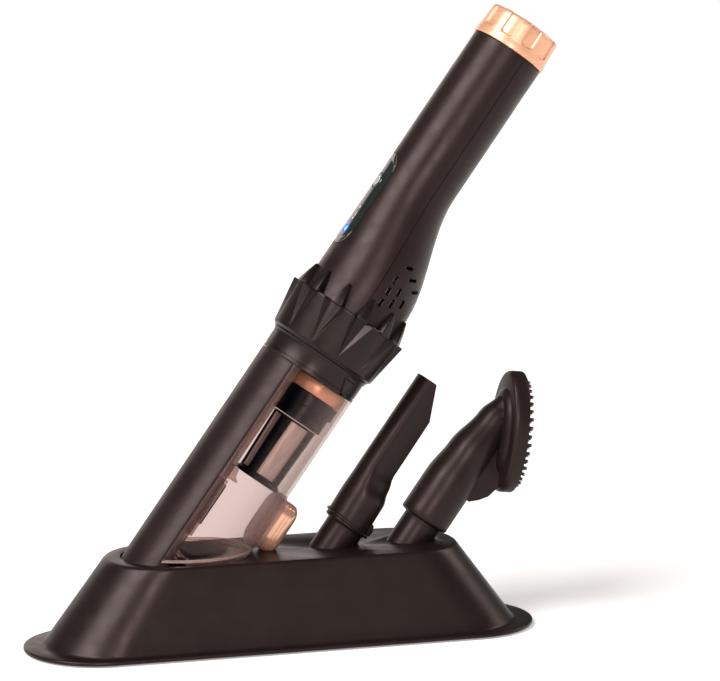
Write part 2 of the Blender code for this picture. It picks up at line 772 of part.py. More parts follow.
def build_door():
    hinge = door_hinge()
    low = -DOOR_DROP / math.cos(LEAN)
    high = (-DOOR_DROP + DOOR_THICK) / math.cos(LEAN)
    outline = door_outline(BODY_RADIUS - 0.2 * MM, hinge[0] + 2.4 * MM)
    door = loft("bin_door", [on_slant(outline, low), on_slant(outline, high)], CLEAR, TUBE, origin=hinge)
    knuckle_half = HINGE_PIN_LENGTH / 2 - HINGE_EAR - FIT
    knuckle = turned_across("door_knuckle", hinge, KNUCKLE_RADIUS, 2 * knuckle_half)
    tongue = block(
        "door_tongue",
        (hinge[0], 0.1 * MM - knuckle_half, hinge[2] - 0.7 * MM),
        (hinge[0] + 5 * MM, knuckle_half - 0.1 * MM, hinge[2] + 0.9 * MM),
        CLEAR,
        TUBE,
    )
    lean_back(tongue, hinge)
    fuse(door, knuckle, tongue)
    cut(door, turned_across("door_pin_bore", hinge, HINGE_PIN_RADIUS + FIT, HINGE_PIN_LENGTH + 4 * MM))
    pin = turned_across("bin_door_pin", hinge, HINGE_PIN_RADIUS, HINGE_PIN_LENGTH)
    pin.data.materials[0] = STEEL
    seal = door_outline(BODY_RADIUS - CUP_WALL - 9.6 * MM, hinge[0] + 4 * MM)
    seal_low = high + FIT / math.cos(LEAN)
    loft(
        "bin_door_seal",
        [on_slant(seal, seal_low), on_slant(seal, seal_low + SEAL_THICK / math.cos(LEAN))],
        RUBBER,
        TUBE,
        origin=hinge,
    )


def lean_back(obj, origin):
    """Turns a tube-frame block about its origin so that it lies level."""
    turn = Matrix.Translation(origin) @ Matrix.Rotation(-LEAN, 4, "Y") @ Matrix.Translation(-Vector(origin))
    obj.data.transform(turn)


def turned_across(name, centre, radius, length, steps=16):
    """A cylinder along v."""
    bm = bmesh.new()
    rings = []
    for side in (-0.5, 0.5):
        rings.append([
            (
                centre[0] + radius * math.cos(TURN * i / steps),
                centre[1] + side * length,
                centre[2] + radius * math.sin(TURN * i / steps),
            )
            for i in range(steps)
        ])
    add_loft(bm, rings)
    return finish(name, bm, CLEAR, TUBE, origin=centre)


def catch_frame(name, side):
    """A frame whose x points outwards through one release catch."""
    made = empty(name, (0, 0, NECK_LOW + NECK_HEIGHT * 0.42), 0.0, TUBE)
    made.rotation_euler = (0, 0, side * CATCH_ANGLE)
    return made


def build_neck():
    hole = FILTER_RADIUS + FILTER_PLAY
    flare = NECK_TOP - 2 * MM
    outline = [
        (BODY_RADIUS, NECK_LOW),
        (BODY_RADIUS, flare),
        (BODY_RADIUS + 1.0 * MM, NECK_TOP),
        (0, NECK_TOP),
        (0, NECK_LOW),
    ]
    neck = turned("cup_neck", outline, SATIN, TUBE, steps=30)
    cut(neck, tube_cutter("neck_hole", hole, NECK_LOW - 5 * MM, NECK_TOP + 5 * MM, TUBE, FILTER_U))
    seal_low = NECK_TOP + FIT
    seal_top = seal_low + CUP_SEAL_THICK
    pipe(
        "cup_seal",
        [circle(BODY_RADIUS - FIT, seal_low), circle(BODY_RADIUS - FIT, seal_top)],
        [circle(hole, seal_low, FILTER_U), circle(hole, seal_top, FILTER_U)],
        RUBBER,
        TUBE,
    )
    for side, word in ((-1, "left"), (1, "right")):
        frame = catch_frame(f"catch_frame_{word}", side)
        outer = BODY_RADIUS + 0.7 * MM
        inner = BODY_RADIUS - 3.0 * MM
        recess = BODY_RADIUS - 3.0 * MM - CATCH_TRAVEL - FIT
        cut(neck, wedge(f"catch_recess_{word}", recess, outer + 2 * MM, FIT, frame))
        made = wedge(f"cup_catch_{word}", inner, outer, 0.0, frame)
        made.data.materials[0] = SATIN


def wedge(name, inner, outer, grow, parent):
    """A triangular press pad that points down the tube."""
    half = CATCH_WIDTH / 2 + grow
    low = -CATCH_HEIGHT * 0.5 - grow * 1.8
    high = CATCH_HEIGHT * 0.42 + grow
    tip = 1.0 * MM + grow
    outline = [(-half, high), (half, high), (tip, low), (-tip, low)]
    return loft(name, [[(x, y, z) for y, z in outline] for x in (inner, outer)], SATIN, parent)


# ---------------------------------------------------------------- filter

def build_filter():
    ring_top = NECK_LOW - FIT
    ring_low = ring_top - FILTER_RING_HEIGHT
    band_top = ring_low - FIT
    band_mid = band_top - FILTER_BAND_HEIGHT
    band_low = band_mid - FILTER_LOWER_BAND
    bore = FILTER_RADIUS - 4.6 * MM
    neck = FILTER_RADIUS - 3 * MM
    centre = (FILTER_U, 0)
    turned(
        "filter_ring",
        [
            (neck + FIT, ring_low),
            (FILTER_RADIUS - 0.4 * MM, ring_low),
            (FILTER_RADIUS, ring_low + 0.5 * MM),
            (FILTER_RADIUS, ring_top - 0.5 * MM),
            (FILTER_RADIUS - 0.4 * MM, ring_top),
            (neck + FIT, ring_top),
        ],
        GOLD,
        TUBE,
        centre=centre,
        steps=28,
    )
    frame_top = NECK_TOP
    turned(
        "filter_frame",
        [
            (bore, band_low),
            (FILTER_RADIUS - 0.7 * MM, band_low),
            (FILTER_RADIUS - 0.7 * MM, band_mid),
            (FILTER_RADIUS - 0.2 * MM, band_mid),
            (FILTER_RADIUS - 0.2 * MM, band_top),
            (neck, band_top),
            (neck, ring_top + FIT),
            (FILTER_RADIUS, ring_top + FIT),
            (FILTER_RADIUS, frame_top),
            (bore, frame_top),
        ],
        SATIN,
        TUBE,
        centre=centre,
        steps=28,
    )
    cone_top = band_low - FIT
    cone_low = cone_top - FILTER_CONE_LENGTH
    disc_low = cone_low - FILTER_DISC_HEIGHT
    cage = turned(
        "filter_cage",
        [
            (0, disc_low),
            (FILTER_CONE_LOW + 0.6 * MM, disc_low),
            (FILTER_CONE_LOW + 0.6 * MM, cone_low),
            (FILTER_CONE_TOP, cone_top),
            (FILTER_CONE_TOP - 1.4 * MM, cone_top),
            (FILTER_CONE_LOW - 1.4 * MM, cone_low),
            (0, cone_low),
        ],
        SATIN,
        TUBE,
        centre=centre,
        steps=24,
    )
    for i in range(FILTER_RIBS // 2):
        window = block(
            f"cage_window_{i}",
            (-20 * MM, -3.4 * MM, cone_low + 1.2 * MM),
            (20 * MM, 3.4 * MM, cone_top - 1.6 * MM),
            SATIN,
            TUBE,
        )
        window.data.transform(Matrix.Rotation(TURN * (i + 0.5) / FILTER_RIBS, 4, "Z"))
        window.location = (FILTER_U, 0, 0)
        cut(cage, window)
    mesh_gap = 1.4 * MM + FIT
    turned(
        "filter_mesh",
        [
            (FILTER_CONE_LOW - mesh_gap - 0.8 * MM, cone_low + FIT),
            (FILTER_CONE_LOW - mesh_gap, cone_low + FIT),
            (FILTER_CONE_TOP - mesh_gap, cone_top),
            (FILTER_CONE_TOP - mesh_gap - 0.8 * MM, cone_top),
        ],
        MESH,
        TUBE,
        centre=centre,
        steps=24,
    )
    pleat_outer = FILTER_CONE_LOW - mesh_gap - 1.6 * MM
    pleat_inner = pleat_outer - 3 * MM
    outline = []
    for i in range(2 * PLEATS):
        radius = pleat_outer if i % 2 else pleat_inner
        angle = TURN * i / (2 * PLEATS)
        outline.append((FILTER_U + radius * math.cos(angle), radius * math.sin(angle)))
    loft(
        "filter_pleats",
        [at_height(outline, cone_low + FIT), at_height(outline, cone_top)],
        PAPER,
        TUBE,
    )


# ---------------------------------------------------------------- motor unit

def section(height):
    """Centre and radius of the housing and handle at a height."""
    t = min(max((height - FLARE_LOW) / FLARE_LENGTH, 0), 1)
    blend = t * t * (3 - 2 * t)
    reach = BODY_RADIUS + (HANDLE_U + HANDLE_RADIUS - BODY_RADIUS) * blend
    return (reach - BODY_RADIUS) / 2, (reach + BODY_RADIUS) / 2


def shell_ring(height, cup_side):
    """One half of the housing's section, as a closed C between its two parting faces."""
    centre, radius = section(height)
    gap = FIT / 2 if cup_side else -FIT / 2
    outer = math.acos((SPLIT_U + gap - centre) / radius)
    inner = math.acos((SPLIT_U + gap - centre) / (radius - SHELL_WALL))
    if cup_side:
        outline = arc(radius, -outer, outer, 13, centre)
        outline += arc(radius - SHELL_WALL, inner, -inner, 13, centre)
    else:
        outline = arc(radius, outer, TURN - outer, 13, centre)
        outline += arc(radius - SHELL_WALL, TURN - inner, inner, 13, centre)
    return at_height(outline, height)


def build_shells():
    heights = [SHELL_LOW, COLLAR_TOP, FLARE_LOW]
    heights += [FLARE_LOW + FLARE_LENGTH * i / FLARE_RINGS for i in range(1, FLARE_RINGS + 1)] + [SHELL_TOP]
    display = loft("display_shell", [shell_ring(h, False) for h in heights], SATIN, TUBE)
    vent = loft("vent_shell", [shell_ring(h, True) for h in heights], SATIN, TUBE)
    cut(vent, vent_slots(), port_recess(), charge_hole())
    cut(display, panel_solid("panel_recess", FIT, PANEL_THICK + FIT, 3 * MM), panel_window())


def vent_slots():
    """Columns of slots through both flanks, each column topped by one slanted slot."""
    bm = bmesh.new()
    for column in range(VENT_COLUMNS):
        u = 2.4 * MM + column * VENT_PITCH
        for row in range(VENT_COLUMNS - column + 1):
            slanted = row == VENT_COLUMNS - column
            low = FLARE_LOW + 0.3 * MM + column * VENT_COLUMN_STEP + row * VENT_ROW_PITCH
            turn = math.radians(68) if slanted else 0.0
            place = Vector((u + (4.0 * MM if slanted else 0), 0, low + (2.4 * MM if slanted else 0)))
            matrix = Matrix.Translation(place) @ Matrix.Rotation(turn, 4, "Y")
            size = (VENT_SLOT_WIDTH, 4 * BODY_RADIUS, VENT_SLOT_LENGTH, 1)
            bmesh.ops.create_cube(bm, size=1.0, matrix=matrix @ Matrix.Diagonal(size))
    return finish("vent_cutters", bm, SATIN, TUBE)


def port_place():
    """Outer face and lowest height of the charging port's cover."""
    return HANDLE_U + HANDLE_RADIUS, SHELL_TOP - 5 * MM - PORT_COVER_LENGTH


def cover_outline(grow):
    length = PORT_COVER_LENGTH + 2 * grow
    return stadium(length, PORT_COVER_WIDTH + 2 * grow, 0, steps=8)


def port_recess():
    face, low = port_place()
    middle = low + PORT_COVER_LENGTH / 2
    chord = cover_depth()
    rings = [[(u, y, middle + x) for x, y, _ in cover_outline(FIT)] for u in (face - chord, face + 5 * MM)]
    return loft("port_recess", rings, SATIN, TUBE)


def cover_depth():
    """Depth of the flat recess that the cover lies in, below the handle's line."""
    return 0.9 * MM + HANDLE_RADIUS - math.sqrt(HANDLE_RADIUS**2 - (PORT_COVER_WIDTH / 2) ** 2)


def charge_hole():
    face, low = port_place()
    middle = low + PORT_COVER_LENGTH / 2
    return block(
        "charge_hole",
        (face - 12 * MM, -4.8 * MM, middle - 2.1 * MM),
        (face + 5 * MM, 4.8 * MM, middle + 2.1 * MM),
        SATIN,
        TUBE,
    )


def panel_solid(name, grow, depth, proud):
    """A curved strip along the display side, from a height above the handle's surface to a depth in it."""
    low = PANEL_LOW - grow
    length = PANEL_LENGTH + 2 * grow
    half_width = BODY_RADIUS * PANEL_HALF_ANGLE * 0.82 + grow
    steps = 12
    rings = []
    for i in range(steps + 1):
        share = math.sin(math.pi * (i / steps - 0.5))
        height = low + length / 2 * (1 + share)
        to_end = min(1.0, (1 - abs(share)) * length / 2 / half_width)
        width = half_width * max(0.3, math.sqrt(1 - (1 - to_end) ** 2))
        centre, radius = section(height)
        spread = width / radius
        outline = arc(radius + proud, math.pi - spread, math.pi + spread, 8, centre)
        outline += arc(radius - depth, math.pi + spread, math.pi - spread, 8, centre)
        rings.append(at_height(outline, height))
    return loft(name, rings, GLOSS, TUBE)


def panel_window():
    """The hole through the shell behind the panel, for the button and the light."""
    low = PANEL_LOW + 5 * MM
    return block(
        "panel_window",
        (-BODY_RADIUS - 5 * MM, -BUTTON_RADIUS - 1 * MM, low),
        (-BODY_RADIUS + SHELL_WALL + 1.5 * MM, BUTTON_RADIUS + 1 * MM, low + PANEL_LENGTH - 10 * MM),
        SATIN,
        TUBE,
    )


def button_height():
    return PANEL_LOW + 0.7 * PANEL_LENGTH


def led_height():
    return PANEL_LOW + 9.5 * MM


def turned_inwards(name, profile, height, finish_material, parent=TUBE, steps=20):
    """A turned piece whose axis points from the display side's surface into the handle."""
    made = turned(name, profile, finish_material, parent, steps=steps)
    made.data.transform(Matrix.Rotation(math.pi / 2, 4, "Y"))
    made.location = (-BODY_RADIUS, 0, height)
    return made


def build_panel():
    panel = panel_solid("display_panel", 0.0, PANEL_THICK, 0.0)
    hole = BUTTON_RADIUS - 0.5 * MM
    led = 2.0 * MM
    cut(
        panel,
        turned_inwards(
            "button_hole", [(0, -5 * MM), (hole + FIT, -5 * MM), (hole + FIT, 5 * MM), (0, 5 * MM)],
            button_height(), GLOSS,
        ),
        turned_inwards(
            "led_hole", [(0, -5 * MM), (led + FIT, -5 * MM), (led + FIT, 5 * MM), (0, 5 * MM)],
            led_height(), GLOSS,
        ),
    )
    face = 0.15 * MM
    reach = BUTTON_RADIUS + 0.3 * MM
    flange = PANEL_THICK + FIT + HANDLE_RADIUS - math.sqrt(HANDLE_RADIUS**2 - reach**2)
    plunger = flange + 1.6 * MM
    turned_inwards(
        "power_button",
        [
            (0, face),
            (hole - 0.3 * MM, face),
            (hole, face + 0.3 * MM),
            (hole, flange),
            (reach, flange),
            (reach, flange + 1 * MM),
            (1.2 * MM, flange + 1 * MM),
            (1.2 * MM, plunger),
            (0, plunger),
        ],
        button_height(),
        GLOSS,
    )
    turned_inwards(
        "status_led",
        [(0, face), (led - 0.3 * MM, face), (led, face + 0.3 * MM), (led, 3 * MM), (0, 3 * MM)],
        led_height(),
        LED,
    )
    board_u = -BODY_RADIUS + plunger + BUTTON_TRAVEL + 0.2 * MM
    low = PANEL_LOW + 2 * MM
    block(
        "control_board",
        (board_u, -7 * MM, low),
        (board_u + BOARD_THICK, 7 * MM, BOARD_TOP),
        BOARD,
        TUBE,
    )


def build_collar():
    heights = [0, 1.7 * MM, 3.2 * MM, COLLAR_HEIGHT]
    pitch = TURN / COLLAR_TEETH
    outer, inner = [], []
    bore = BODY_RADIUS + 1.0 * MM + FIT
    for height in heights:
        share = max(0.04, (height - 3.2 * MM) / (COLLAR_HEIGHT - 3.2 * MM))
        if height < 1.7 * MM:
            radius = COLLAR_LOW_RADIUS - 1.7 * MM
        else:
            climb = (height - 1.7 * MM) / (COLLAR_HEIGHT - 1.7 * MM)
            radius = COLLAR_LOW_RADIUS + (COLLAR_TOP_RADIUS - COLLAR_LOW_RADIUS) * climb
        floor = NOTCH_FLOOR_RADIUS if height >= 3.2 * MM else radius
        floor = min(floor, radius)
        wide = NOTCH_HALF_WIDTH * share / radius
        narrow = NOTCH_FLOOR_HALF * share / radius
        ring, bored = [], []
        for tooth in range(COLLAR_TEETH):
            middle = COLLAR_PHASE + tooth * pitch
            for offset, reach in (
                (-pitch / 2, radius), (-wide, radius), (-narrow, floor), (narrow, floor), (wide, radius),
            ):
                angle = middle + offset
                level = COLLAR_LOW + height
                ring.append((reach * math.cos(angle), reach * math.sin(angle), level))
                bored.append((bore * math.cos(angle), bore * math.sin(angle), level))
        outer.append(ring)
        inner.append(bored)
    collar = pipe("collar_ring", outer, inner, SATIN, TUBE)
    fins = [fin(COLLAR_PHASE + tooth * pitch, bore) for tooth in range(COLLAR_TEETH)]
    bm = bmesh.new()
    for rings in fins:
        add_loft(bm, rings)
    fuse(collar, finish("collar_fins", bm, SATIN, TUBE))


def fin(angle, bore):
    """A tapered wedge that stands on the collar's top and lies along the housing."""
    turn = Matrix.Rotation(angle, 3, "Z")
    rings = []
    for height, proud, half in (
        (COLLAR_TOP - 1.2 * MM, FIN_PROUD, FIN_WIDTH / 2),
        (COLLAR_TOP + 0.8 * MM, FIN_PROUD, FIN_WIDTH / 2),
        (COLLAR_TOP + FIN_HEIGHT, 0.5 * MM, 0.8 * MM),
    ):
        base = bore
        corners = [(base, -half), (base + proud, -half * 0.8), (base + proud, half * 0.8), (base, half)]
        rings.append([turn @ Vector((u, v, height)) for u, v in corners])
    return rings


def build_cap():
    count = 4 * CAP_GRIPS
    pitch = TURN / CAP_GRIPS
    depth = 0.9 * MM
    band = 4.2 * MM
    levels = [
        (CAP_LOW, 0, 0),
        (CAP_LOW + band, -0.3 * MM, 0),
        (CAP_LOW + band + 1 * MM, -0.5 * MM, 1),
        (CAP_TOP - CAP_CHAMFER, -CAP_TAPER, 1),
        (CAP_TOP, -CAP_CHAMFER - CAP_TAPER, 0.6),
    ]
    rings = []
    for height, inset, grip in levels:
        ring = []
        for i in range(count):
            angle = TURN * i / count
            inside = 0.2 < (angle / pitch) % 1 < 0.8
            radius = CAP_RADIUS + inset - (depth * grip if inside else 0)
            ring.append((HANDLE_U + radius * math.cos(angle), radius * math.sin(angle), height))
        rings.append(ring)
    cap = loft("end_cap", rings, GOLD, TUBE, origin=(HANDLE_U, 0, CAP_LOW))
    hollow = HANDLE_RADIUS - SHELL_WALL - 2.5 * MM
    cut(cap, tube_cutter("cap_hollow", hollow, CAP_LOW - 5 * MM, CAP_TOP - 3 * MM, TUBE, HANDLE_U))
    skirt = HANDLE_RADIUS - SHELL_WALL - 2 * FIT
    spigot = turned(
        "cap_spigot",
        [
            (hollow - 0.5 * MM, CAP_LOW - 2.6 * MM),
            (skirt, CAP_LOW - 2.6 * MM),
            (skirt, CAP_LOW + 1 * MM),
            (hollow - 0.5 * MM, CAP_LOW + 1 * MM),
        ],
        GOLD,
        TUBE,
        centre=(HANDLE_U, 0),
    )
    fuse(cap, spigot)


def build_fan():
    floor = SHELL_LOW + 0.6 * MM
    grille_radius = INNER_RADIUS - 2 * FIT
    grille = turned(
        "intake_grille",
        [(0, floor), (grille_radius, floor), (grille_radius, floor + 1.6 * MM), (0, floor + 1.6 * MM)],
        SATIN,
        TUBE,
        steps=28,
    )
    for i in range(5):
        u = (i - 2) * 4.6 * MM
        reach = 12 * MM - abs(i - 2) * 1.6 * MM
        slot = block(
            f"grille_slot_{i}",
            (u - 1.4 * MM, -reach, floor - 2 * MM),
            (u + 1.4 * MM, reach, floor + 4 * MM),
            SATIN,
            TUBE,
        )
        cut(grille, slot)
    shroud_low = floor + 1.6 * MM + FIT
    fan_low = shroud_low + 1.4 * MM + 1.0 * MM
    fan_top = fan_low + IMPELLER_HEIGHT
    plate_low = fan_top + 2.6 * MM
    turned(
        "fan_shroud",
        [
            (IMPELLER_RADIUS * 0.55, shroud_low),
            (grille_radius, shroud_low),
            (grille_radius, plate_low - FIT),
            (IMPELLER_RADIUS + 1.8 * MM, plate_low - FIT),
            (IMPELLER_RADIUS + 1.8 * MM, shroud_low + 1.4 * MM),
            (IMPELLER_RADIUS * 0.55, shroud_low + 1.4 * MM),
        ],
        SATIN,
        TUBE,
        steps=28,
    )
    hub = 4.2 * MM
    impeller = turned(
        "impeller",
        [
            (SHAFT_RADIUS + FIT, fan_low),
            (hub, fan_low),
            (hub + 1.5 * MM, fan_top - 1.6 * MM),
            (IMPELLER_RADIUS, fan_top - 1.2 * MM),
            (IMPELLER_RADIUS, fan_top),
            (SHAFT_RADIUS + FIT, fan_top),
        ],
        STEEL,
        TUBE,
        steps=24,
        origin=(0, 0, fan_low),
    )
    bm = bmesh.new()
    for i in range(BLADES):
        add_loft(bm, blade(TURN * i / BLADES, hub, fan_low, fan_top - 0.6 * MM))
    fuse(impeller, finish("blade_set", bm, STEEL, TUBE))
    motor_low = plate_low + 1.6 * MM + FIT
    turned(
        "motor_shaft",
        [
            (0, fan_low + 0.4 * MM),
            (SHAFT_RADIUS - 0.3 * MM, fan_low + 0.4 * MM),
            (SHAFT_RADIUS, fan_low + 0.9 * MM),
            (SHAFT_RADIUS, motor_low + 12 * MM),
            (0, motor_low + 12 * MM),
        ],
        STEEL,
        TUBE,
        steps=16,
        origin=(0, 0, fan_low),
    )
    screw_ring = 9 * MM
    plate = turned(
        "motor_plate",
        [
            (SHAFT_RADIUS + 1 * MM, plate_low),
            (grille_radius, plate_low),
            (grille_radius, plate_low + 1.6 * MM),
            (SHAFT_RADIUS + 1 * MM, plate_low + 1.6 * MM),
        ],
        STEEL,
        TUBE,
        steps=28,
    )
    can = turned(
        "motor_can",
        [
            (0, motor_low + 13 * MM),
            (SHAFT_RADIUS + FIT, motor_low + 13 * MM),
            (SHAFT_RADIUS + FIT, motor_low),
            (MOTOR_RADIUS - 1.5 * MM, motor_low),
            (MOTOR_RADIUS, motor_low + 1.5 * MM),
            (MOTOR_RADIUS, motor_low + MOTOR_LENGTH - 2 * MM),
            (MOTOR_RADIUS - 4 * MM, motor_low + MOTOR_LENGTH),
            (0, motor_low + MOTOR_LENGTH),
        ],
        STEEL,
        TUBE,
        steps=24,
    )
    for i in range(3):
        angle = TURN * (i + 0.45) / 3
        place = (screw_ring * math.cos(angle), screw_ring * math.sin(angle))
        bore = [(0, plate_low - 2 * MM), (1.2 * MM + FIT, plate_low - 2 * MM)]
        bore += [(1.2 * MM + FIT, motor_low + 4 * MM), (0, motor_low + 4 * MM)]
        cutter = turned(f"motor_screw_bore_{i}", bore, STEEL, TUBE, centre=place, steps=10)
        cut(plate, cutter)
        cut(can, cutter)
        head = plate_low - FIT
        turned(
            f"motor_screw_{i + 1}",
            [
                (0, head - 1.2 * MM),
                (2.2 * MM, head - 1.2 * MM),
                (2.2 * MM, head),
                (1.2 * MM, head),
                (1.2 * MM, motor_low + 3.5 * MM),
                (0, motor_low + 3.5 * MM),
            ],
            STEEL,
            TUBE,
            centre=place,
            steps=10,
        )
    for i in range(PLATE_VENTS):
        angle = TURN * (i + 0.27) / PLATE_VENTS
        radius = (MOTOR_RADIUS + grille_radius) / 2 + 0.3 * MM
        vent = turned(
            f"plate_vent_{i}",
            [(0, plate_low - 2 * MM), (2.8 * MM, plate_low - 2 * MM), (2.8 * MM, motor_low), (0, motor_low)],
            STEEL,
            TUBE,
            centre=(radius * math.cos(angle), radius * math.sin(angle)),
            steps=8,
        )
        cut(plate, vent)


def blade(start, hub, low, high):
    """One backward-curved fan blade, from the hub to the rim."""
    rings = []
    half = 0.45 * MM
    steps = 3
    for i in range(steps + 1):
        share = i / steps
        radius = hub - 0.6 * MM + (IMPELLER_RADIUS - hub - 0.2 * MM) * share
        angle = start + 0.75 * share
        normal = Vector((-math.sin(angle + 0.5 * share), math.cos(angle + 0.5 * share), 0))
        centre = Vector((radius * math.cos(angle), radius * math.sin(angle), 0))
        foot = low + 2.2 * MM * share
        rings.append([
            centre + normal * side * half + Vector((0, 0, height))
            for side, height in ((-1, foot), (1, foot), (1, high), (-1, high))
        ])
    return rings


def build_battery():
    low = CELL_LOW
    offset = CELL_RADIUS + 0.4 * MM
    for side, word in ((-1, "a"), (1, "b")):
        turned(
            f"battery_cell_{word}",
            [
                (0, low),
                (CELL_RADIUS - 0.6 * MM, low),
                (CELL_RADIUS, low + 0.6 * MM),
                (CELL_RADIUS, low + CELL_LENGTH - 1.2 * MM),
                (CELL_RADIUS - 1 * MM, low + CELL_LENGTH),
                (0, low + CELL_LENGTH),
            ],
            CELL,
            TUBE,
            centre=(HANDLE_U, side * offset),
            steps=24,
        )
    plate = HANDLE_RADIUS - SHELL_WALL - 1 * MM
    thick = HOLDER_THICK
    holder = block(
        "battery_holder",
        (HANDLE_U - 13.6 * MM, -3 * MM, low - FIT - thick),
        (HANDLE_U - 11.4 * MM, 3 * MM, low + CELL_LENGTH + FIT + thick),
        RUBBER,
        TUBE,
    )
    discs = []
    for word, level in (("low", low - FIT - thick), ("top", low + CELL_LENGTH + FIT)):
        disc = tube_cutter(f"holder_disc_{word}", plate, level, level + thick, TUBE, HANDLE_U)
        discs.append(disc)
    fuse(holder, *discs)


def build_port():
    face, low = port_place()
    middle = low + PORT_COVER_LENGTH / 2
    floor = face - cover_depth() + FIT
    chord = HANDLE_RADIUS - math.sqrt(HANDLE_RADIUS**2 - (PORT_COVER_WIDTH / 2) ** 2)
    outer = floor + COVER_EDGE + chord * COVER_CROWN  # the hinge lies along the outer face's low end
    rings = []
    for share in (0, 1):
        ring = []
        for x, y, _ in cover_outline(0.0):
            crown = chord - (HANDLE_RADIUS - math.sqrt(HANDLE_RADIUS**2 - y * y))
            ring.append((floor + share * (COVER_EDGE + crown * COVER_CROWN), y, middle + x))
        rings.append(ring)
    loft("port_cover", rings, RUBBER, TUBE, origin=(outer, 0, low))
    block(
        "charge_socket",
        (face - SHELL_WALL - cover_depth() - 6 * MM, -4.4 * MM, middle - 1.7 * MM),
        (face - cover_depth() - 0.3 * MM, 4.4 * MM, middle + 1.7 * MM),
        STEEL,
        TUBE,
    )


# ---------------------------------------------------------------- tools

def build_crevice():
    """A round stub that becomes a keel-sided blade, hollow all the way, cut off at a slant."""
    stations = [
        (-STUB_DEPTH, 0, STUB_RADIUS, 0),
        (11.5 * MM, 0, STUB_RADIUS, 0),
        (12.5 * MM, -0.6 * MM, CREVICE_BODY_RADIUS, 0),
        (32 * MM, -1.1 * MM, CREVICE_BODY_RADIUS, 0),
        (40 * MM, -2.2 * MM, 11.4 * MM, 0.5),
        (49 * MM, -3.4 * MM, BLADE_RADIUS, 1),
        (CREVICE_LENGTH, -3.6 * MM, BLADE_RADIUS - 0.2 * MM, 1),
    ]
    tool = loft("crevice_tool", [blade_ring(*s, inset=0) for s in stations], SATIN, CREVICE)
    inner = [(h - 1 * MM if i == 0 else h, *rest) for i, (h, *rest) in enumerate(stations)]
    inner[-1] = (CREVICE_LENGTH + 1 * MM, *inner[-1][1:])
    inner[1] = (10 * MM, *inner[1][1:])
    inner[2] = (16 * MM, *inner[2][1:])
    bore = loft("crevice_bore", [blade_ring(*s, inset=TOOL_WALL) for s in inner], SATIN, CREVICE)
    slant = block("crevice_slant", (0, -20 * MM, -40 * MM), (40 * MM, 20 * MM, 40 * MM), SATIN, CREVICE)
    slant.data.transform(Matrix.Rotation(-TIP_SLANT, 4, "Y"))
    slant.location = (-3.1 * MM, 0, CREVICE_LENGTH - 2.4 * MM)
    cut(tool, bore, slant)


def blade_ring(height, centre, radius, keel, inset):
    ring = []
    radius -= inset
    for i in range(BLADE_SIDES):
        angle = TURN * i / BLADE_SIDES
        u = radius * math.cos(angle)
        v = radius * math.sin(angle)
        share = min(max((u + 0.3 * radius) / (1.3 * radius), 0), 1)
        limit = radius * (0.86 - 0.58 * share)
        flat = math.copysign(min(abs(v), limit), v)
        v += (flat - v) * keel
        ring.append((centre + u, v, height))
    return ring


def build_brush():
    """A round stub and neck that lean into the back of an oval head with a ring of bristles."""
    stations = [
        (-STUB_DEPTH, 0, STUB_RADIUS),
        (12 * MM, 0, STUB_RADIUS),
        (13 * MM, 0, BRUSH_BODY_RADIUS - 0.4 * MM),
        (14 * MM, 0, BRUSH_BODY_RADIUS),
        (38 * MM, 0, BRUSH_BODY_RADIUS),
        (57 * MM, 0.4 * MM, 12.4 * MM),
        (80 * MM, 2.2 * MM, 9.6 * MM),
        (93 * MM, 4.5 * MM, 8.0 * MM),
    ]
    body = loft(
        "brush_body", [circle(radius, height, centre) for height, centre, radius in stations], SATIN, BRUSH
    )
    head_face = Vector((17.2 * MM, 0, 81.8 * MM))
    tilt = math.radians(90 - 29)
    head = oval_slab("brush_head", 1.0, -BRUSH_HEAD_THICK, 0.0, head_face, tilt)
    back = -BRUSH_HEAD_THICK
    dome = oval_slab("brush_dome", 0.72, back - 3 * MM, back + 1 * MM, head_face, tilt)
    web = brush_web()
    fuse(body, head, dome, web)
    bore = [circle(r - TOOL_WALL, h, c) for h, c, r in stations]
    bore[0] = circle(STUB_RADIUS - TOOL_WALL, -STUB_DEPTH - 1 * MM)
    bore[2] = circle(STUB_RADIUS - TOOL_WALL, 13 * MM)
    bore[3] = circle(STUB_RADIUS - TOOL_WALL + 1 * MM, 17 * MM)
    bore[-1] = circle(6 * MM, 90 * MM, 4.3 * MM)
    hollow = loft("brush_bore", bore, SATIN, BRUSH)
    cavity = oval_slab("brush_mouth", 0.5, -BRUSH_HEAD_THICK - 1 * MM, 8 * MM, head_face, tilt)
    groove = oval_slab("bristle_bed", 0.93, -2.13 * MM, 4 * MM, head_face, tilt)
    cut(body, groove, hollow, cavity)
    bristles = oval_slab("brush_bristles", 0.9, -2 * MM + FIT, BRISTLE_LENGTH, head_face, tilt, BRISTLE)
    cut(bristles, oval_slab("bristle_mouth", 0.62, -5 * MM, 10 * MM, head_face, tilt))


def brush_web():
    """The thin web that fills the corner between the neck and the lower back of the head."""
    edge = [(5, 36), (14.6, 35), (22.5, 43.4), (24.5, 58), (16.5, 76), (5, 74)]
    half = 5.3 * MM
    return loft(
        "brush_web", [[(u * MM, v, w * MM) for u, w in edge] for v in (-half, half)], SATIN, BRUSH
    )


def oval_slab(name, scale, low, high, face, tilt, finish_material=SATIN):
    outline = ellipse(BRUSH_HEAD_LENGTH / 2 * scale, BRUSH_HEAD_WIDTH / 2 * scale)
    made = loft(name, [at_height(outline, low), at_height(outline, high)], finish_material, BRUSH)
    made.data.transform(Matrix.Rotation(tilt, 4, "Y"))
    made.location = face
    return made


